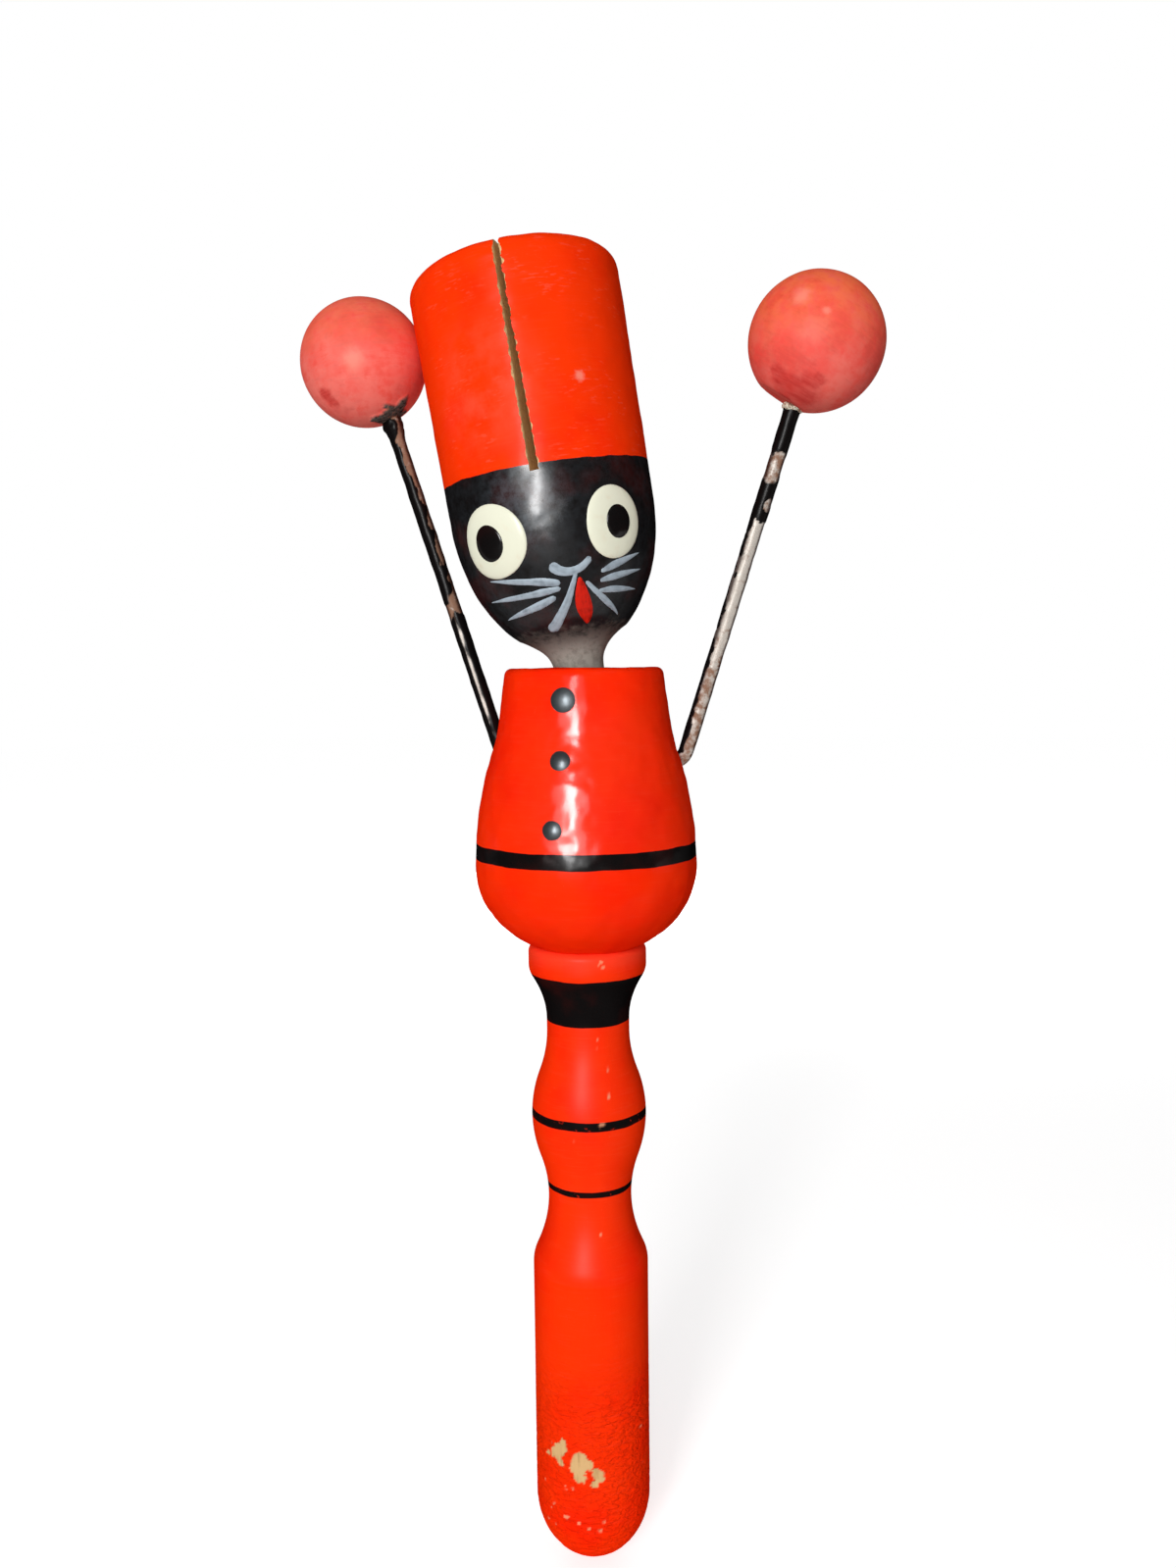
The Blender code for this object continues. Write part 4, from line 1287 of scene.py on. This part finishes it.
# Marks on the balls: which way from the ball's middle, and the radius in millimetres
FRESH_MARKS = {
    "left": (((-0.378, -0.707, -0.597), 1.1), ((-0.318, -0.684, -0.656), 1.35),
             ((-0.267, -0.650, -0.712), 1.15)),
    "right": (((-0.502, -0.663, -0.550), 1.4), ((-0.448, -0.599, -0.665), 1.9),
              ((-0.274, -0.578, -0.768), 2.7), ((-0.074, -0.666, -0.744), 2.0),
              ((0.060, -0.700, -0.710), 1.3), ((-0.142, -0.480, -0.865), 2.4),
              ((-0.395, -0.467, -0.791), 2.0)),
}
# Pale marks: nicks on the right ball, and on the left ball a painted highlight where the strip box's
# reflection falls
PALE_NICKS_AND_SHEEN = {
    "left": (((0.242, -0.951, -0.193), 1.6),),
    "right": (((-0.160, -0.891, 0.425), 1.3), ((0.182, -0.967, 0.177), 0.6)),
}

# Which way the brushed streaks run on each ball, how far its paint has gone towards orange, pale and red, and
# the height from which it goes towards orange
BALL_GRAIN = {"left": math.radians(8.0), "right": math.radians(-32.0)}
BALL_WARMTH = {"left": 0.50, "right": 0.85}
BALL_FADE = {"left": 0.80, "right": 0.45}
BALL_BLUSH = {"left": 0.25, "right": 0.50}
BALL_WARM_FROM = {"left": -1 * MM, "right": -6 * MM}

# Daub of black paint where the wire enters the left ball: its middle, and its tips with radii in millimetres
DAUB_MIDDLE = Vector((0.493, -0.068, -0.867))
DAUB_TIPS = ((Vector((0.721, -0.164, -0.673)), 2.3), (Vector((0.264, -0.242, -0.934)), 2.2),
             (Vector((0.612, 0.053, -0.789)), 2.3), (Vector((0.541, -0.333, -0.772)), 2.5),
             (Vector((0.42, 0.20, -0.885)), 2.0))

# Flat where the right ball was held to be drilled
DRILL_FLAT = Vector((-0.56, 0.0, -0.83)).normalized()
DRILL_FLAT_REACH = 0.925

# Bead of glue under the right ball: half its width and half its height in millimetres, and how far from the
# wire's end it sits, as a share of the ball's radius
GLUE_BEAD = (1.8, 0.8)
GLUE_REACH = 0.955


def ball_profile():
    """Fine (radius, height) points of a ball, in millimetres from its middle."""
    return even(arc((0.0, 0.0), BALL_RADIUS / MM, BALL_RADIUS / MM, -90.0, 90.0), MEDIUM)


def ball_wear(side, daub):
    """Wear of a ball: a daub of paint on the left one, a flat on the right one, and a faint unevenness."""
    def at(point):
        way = point.normalized()
        uneven = 0.03 * MM * ripple(point, 6 * MM, 2)
        if side == "right":
            past_flat = max(0.0, 1 - DRILL_FLAT_REACH / max(way.dot(DRILL_FLAT), DRILL_FLAT_REACH))
            return uneven - BALL_RADIUS * past_flat, {"daub": 0.0}
        inside = -10.0
        for tip, radius in DAUB_TIPS:
            spike = tip - DAUB_MIDDLE
            share = min(1.0, max(0.0, (way - DAUB_MIDDLE).dot(spike) / spike.length_squared))
            from_spike = (way - DAUB_MIDDLE - spike * share).length * BALL_RADIUS / MM
            inside = max(inside, radius * (1 - 0.6 * share) - from_spike)
        mask = smooth_step(inside + 0.5 * ripple(point, 1.1 * MM, 3), -0.1, 0.15)
        return uneven + 0.5 * daub * mask, {"daub": mask}
    return at


def marks(finish, place, ragged, soft, places):
    """Mask of round marks with ragged edges, which are soft over a share of their radius."""
    mask = 0.0
    for way, radius in places:
        away = finish.distance(place, Vector(way) * BALL_RADIUS) + ragged
        mark = finish.fall(away, radius * (1 - soft) * MM, radius * (1 + soft) * MM)
        mask = finish.math("MAXIMUM", mark, mask)
    return mask


def ball_finish(side, colours):
    """Faded, streaked paint of a ball, with a painted highlight on the left one."""
    finish = Finish("faded_ball_paint_" + side)
    place = finish.place()
    turned_place = finish.node("ShaderNodeVectorRotate", {"rotation_type": "Y_AXIS"},
                               {"Vector": place, "Angle": BALL_GRAIN[side]})
    grain = finish.noise(finish.stretch(turned_place, 0.16, 0.16, 1.0), 0.55 * MM, 5.0, 0.6)
    cloud = finish.noise(finish.shift(place, BALLS[side].x, 0.0, 0.0), 8 * MM, 4.0, 0.55)
    ragged = (finish.noise(place, 1.4 * MM, 4.0, 0.6) - 0.5) * 0.0018
    height = finish.axis(place, "Z")
    warm = finish.step(height + (cloud - 0.5) * 0.014, BALL_WARM_FROM[side], 6 * MM) * BALL_WARMTH[side]
    mottle = finish.noise(place, 2.6 * MM, 5.0, 0.65)
    colour = finish.mix(finish.step(0.4 * grain + 0.6 * mottle, 0.34, 0.62) * BALL_FADE[side],
                        colours.pink, colours.pale_pink)
    colour = finish.mix(warm * finish.step(mottle, 0.25, 0.60), colour, colours.orange)
    # Painted light: the paint goes paler towards the bottom of each ball, for the light that falls on its
    # lower side
    low = finish.fall(height, -9 * MM, 1 * MM)
    colour = finish.mix(low * finish.step(mottle, 0.25, 0.60) * BALL_FADE[side], colour, colours.pale_pink)
    blush = 0.45 * cloud + 0.30 * mottle + 0.25 * grain
    patches = finish.step(0.35 * cloud + 0.65 * finish.noise(place, 4.0 * MM, 5.0, 0.65), 0.45, 0.61)
    colour = finish.mix(patches * BALL_BLUSH[side], colour, colours.ball_red)
    colour = finish.mix(finish.step(blush, 0.47, 0.64) * 0.36, colour, colours.fresh_red)
    streaked = 0.55 + 0.45 * finish.step(grain, 0.3, 0.7)
    fresh = marks(finish, place, ragged, 0.55, FRESH_MARKS[side]) * streaked
    colour = finish.mix(fresh * 0.85, colour, colours.fresh_red)
    # Pale marks: nicks, and on the left ball a painted highlight
    colour = finish.mix(marks(finish, place, ragged, 0.8, PALE_NICKS_AND_SHEEN[side]) * 0.65, colour, colours.pale_red)
    coat = Coat(colour, 0.55, 0.018 * grain, 0.36)
    crust = finish.noise(place, 0.8 * MM, 4.0, 0.7)
    daub_colour = finish.mix(finish.step(crust, 0.30, 0.55) * 0.35, colours.black, colours.dust)
    daub_colour = finish.mix(finish.step(crust, 0.54, 0.64), daub_colour, colours.rust)
    daub = Coat(daub_colour, 0.6, 0.12 * crust, 0.3)
    return finish.done(finish.lay(finish.mask("daub"), coat, daub), gloss_roughness=0.48)


class CLACKER_OT_balls(bpy.types.Operator):
    """Turn the balls, fade their paint and glue the right one"""

    bl_idname = "clacker.balls"
    bl_label = "Balls"

    def execute(self, context):
        colours, wear = context.scene.clacker_colours, context.scene.clacker_wear
        for side, centre in BALLS.items():
            ball = turned("struck_ball_" + side, ball_profile() * MM, BALL_COLUMNS,
                          [ball_finish(side, colours)], ball_wear(side, wear.daub))
            ball.matrix_world = Matrix.Translation(centre)
            stand_for(ball, "ball_" + side, FIGURE)
        finish = Finish("old_glue")
        crust = finish.noise(finish.place(), 0.7 * MM, 4.0, 0.7)
        colour = finish.mix(finish.step(crust, 0.45, 0.60), colours.cream, colours.rust)
        glue = finish.done(Coat(colour, 0.6, 0.1 * crust, 0.2), gloss_roughness=0.3)
        profile = even(arc((0.0, 0.0), *GLUE_BEAD, -90.0, 90.0), FINE)
        bead = turned("glue_bead", profile * MM, SMALL_COLUMNS, [glue], rippled(*GLUE_RIPPLE))
        up = (WIRE_ENDS["right"] - ELBOWS["right"]).normalized()
        bead.matrix_world = (Matrix.Translation(WIRE_ENDS["right"] - up * BALL_RADIUS * GLUE_REACH)
                             @ up.to_track_quat("Z", "Y").to_matrix().to_4x4())
        stand_for(bead, None, FIGURE)
        return {"FINISHED"}


# Stage

# How far the floor lies under the handle's end, its corners, the width of the camera's frame in millimetres,
# and the nearest that it sees
FLOOR_DROP = 0.05 * MM
FLOOR_CORNERS = ((-2.0, -2.0), (2.0, -2.0), (2.0, 3.0), (-2.0, 3.0))
FRAME_WIDTH = 36.0
NEAREST_SEEN = 0.01

# Rays that show the background, and how bright the room on the camera's side is for those that paint mirrors
SEEN_RAYS = ("Is Camera Ray", "Is Glossy Ray", "Is Transmission Ray")
DARK_ROOM = 0.06


def seen(nodes):
    """1 for rays that show the background and 0 for those that carry light; then 1 for the camera's rays."""
    camera, glossy, through = [nodes.node("ShaderNodeLightPath", {}, {}, name) for name in SEEN_RAYS]
    return nodes.math("MAXIMUM", nodes.math("MAXIMUM", camera, glossy), through), camera


def studio_world(fill, camera_turn):
    """Even light from all round, a white background, and a dark room on the camera's side in the gloss."""
    world = bpy.data.worlds.new("studio")
    bpy.context.scene.world = world
    nodes = Nodes(world)
    way = nodes.node("ShaderNodeTexCoord", {}, {}, "Generated")
    ahead = (-math.sin(camera_turn), math.cos(camera_turn), 0.0)
    along = nodes.node("ShaderNodeVectorMath", {"operation": "DOT_PRODUCT"}, {0: way, 1: ahead}, "Value")
    shown, camera = seen(nodes)
    white = nodes.math("MAXIMUM", camera, nodes.step(along, 0.60, 0.70))
    strength = nodes.blend(shown, fill, nodes.blend(white, DARK_ROOM, 1.0))
    background = world.node_tree.nodes["Background"]
    nodes.connect(background.inputs["Color"], (1.0, 1.0, 1.0))
    nodes.connect(background.inputs["Strength"], strength)


def studio_floor(colours, near_glow, far_glow):
    """Plain pale floor under the handle's end, which goes grey towards the front."""
    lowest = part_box("handle")[0].z - FLOOR_DROP
    finish = Finish("floor_paper")
    place = finish.place()
    lit = finish.step(finish.axis(place, "Y"), -0.12, -0.03)
    paper = finish.mix(lit, colours.grey_paper, colours.paper)
    material = finish.done(Coat(paper, 0.9, 0.02 * finish.noise(place, 2 * MM, 3.0)), gloss_roughness=0.5)
    far = finish.step(finish.distance(place, (0.0, 0.0, lowest)), 0.2, 0.9)
    glow = finish.blend(lit, 1.0, finish.blend(far, near_glow, far_glow))
    shown, camera = seen(finish)
    shine = finish.math("MAXIMUM", camera, shown * lit) * glow
    shine_colour = finish.mix(shine, (0.0, 0.0, 0.0), (1.0, 1.0, 1.0))
    finish.connect(finish.shader.inputs["Emission Color"], shine_colour)
    finish.connect(finish.shader.inputs["Emission Strength"], 1.0)
    corners = [(x, y, lowest) for x, y in FLOOR_CORNERS]
    mesh_object("paper_floor", corners, [(0, 1, 2, 3)], [material])


# Lamps: where each stands, how high it aims on the handle's axis, its width and height, and whether the gloss
# mirrors it
LAMPS = {
    "strip_box": ((-0.026, -0.60, 0.245), 0.11, 0.110, 0.26, True),
    "screen": ((-0.026, -0.62, 0.20), 0.11, 0.42, 0.30, True),
    "soft_box": ((0.06, -0.80, 0.13), 0.10, 0.40, 0.40, False),
    "back_box": ((-0.19, 0.78, 0.10), 0.10, 0.40, 0.40, False),
}


def lamp(name, place, aim, width, height, mirrored, power):
    """Rectangular lamp that shines from a place to a height on the handle's axis."""
    light = bpy.data.lights.new(name, "AREA")
    light.shape = "RECTANGLE"
    light.size = width
    light.size_y = height
    light.energy = power
    item = bpy.data.objects.new(name, light)
    item.location = place
    item.rotation_euler = (Vector((0.0, 0.0, aim)) - Vector(place)).to_track_quat("-Z", "Y").to_euler()
    item.visible_glossy = mirrored
    bpy.context.scene.collection.objects.link(item)


class CLACKER_OT_stage(bpy.types.Operator):
    """Set up the floor, the lamps and the camera"""

    bl_idname = "clacker.stage"
    bl_label = "Stage"

    def execute(self, context):
        scene = context.scene
        studio = scene.clacker_studio
        scene.view_settings.view_transform = "Standard"
        studio_world(studio.fill, studio.camera_turn)
        studio_floor(scene.clacker_colours, studio.floor_glow, studio.far_glow)
        for name, settings in LAMPS.items():
            lamp(name, *settings, getattr(studio, name))
        camera = bpy.data.cameras.new("camera")
        camera.lens = studio.lens
        camera.sensor_width = FRAME_WIDTH
        camera.clip_start = NEAREST_SEEN
        item = bpy.data.objects.new("camera", camera)
        turn = studio.camera_turn
        place = Vector((studio.camera_distance * math.sin(turn), -studio.camera_distance * math.cos(turn),
                        studio.camera_height))
        item.matrix_world = (Matrix.Translation(place) @ Matrix.Rotation(turn - studio.camera_pan, 4, "Z")
                             @ Matrix.Rotation(math.pi / 2 - studio.camera_dip, 4, "X")
                             @ Matrix.Rotation(-studio.camera_roll, 4, "Z"))
        scene.collection.objects.link(item)
        scene.camera = item
        return {"FINISHED"}


PIECE_OPERATORS = (CLACKER_OT_handle, CLACKER_OT_torso, CLACKER_OT_buttons, CLACKER_OT_wire, CLACKER_OT_balls,
                   CLACKER_OT_head, CLACKER_OT_eyes, CLACKER_OT_muzzle, CLACKER_OT_stage)
SETTINGS = {"clacker_colours": ClackerColours, "clacker_wear": ClackerWear, "clacker_face": ClackerFace,
            "clacker_studio": ClackerStudio}


class CLACKER_PT_panel(bpy.types.Panel):
    """Lists the clacker's pieces and settings"""

    bl_idname = "CLACKER_PT_panel"
    bl_label = "Clacker"
    bl_space_type = "VIEW_3D"
    bl_region_type = "UI"
    bl_category = "Clacker"

    def draw(self, context):
        for piece in PIECE_OPERATORS:
            self.layout.operator(piece.bl_idname)
        for name, group in SETTINGS.items():
            box = self.layout.box()
            for setting in group.__annotations__:
                box.prop(getattr(context.scene, name), setting)


CLASSES = (*SETTINGS.values(), *PIECE_OPERATORS, CLACKER_PT_panel)


def register():
    """Registers the classes and hangs the settings on the scene."""
    for item in CLASSES:
        bpy.utils.register_class(item)
    for name, group in SETTINGS.items():
        setattr(bpy.types.Scene, name, PointerProperty(type=group))


def unregister():
    """Takes the settings off the scene and the classes out."""
    for name in SETTINGS:
        delattr(bpy.types.Scene, name)
    for item in reversed(CLASSES):
        bpy.utils.unregister_class(item)


def main():
    """Makes every piece and the stage."""
    register()
    for piece in PIECE_OPERATORS:
        group, name = piece.bl_idname.split(".")
        getattr(getattr(bpy.ops, group), name)()


if __name__ == "__main__":
    main()
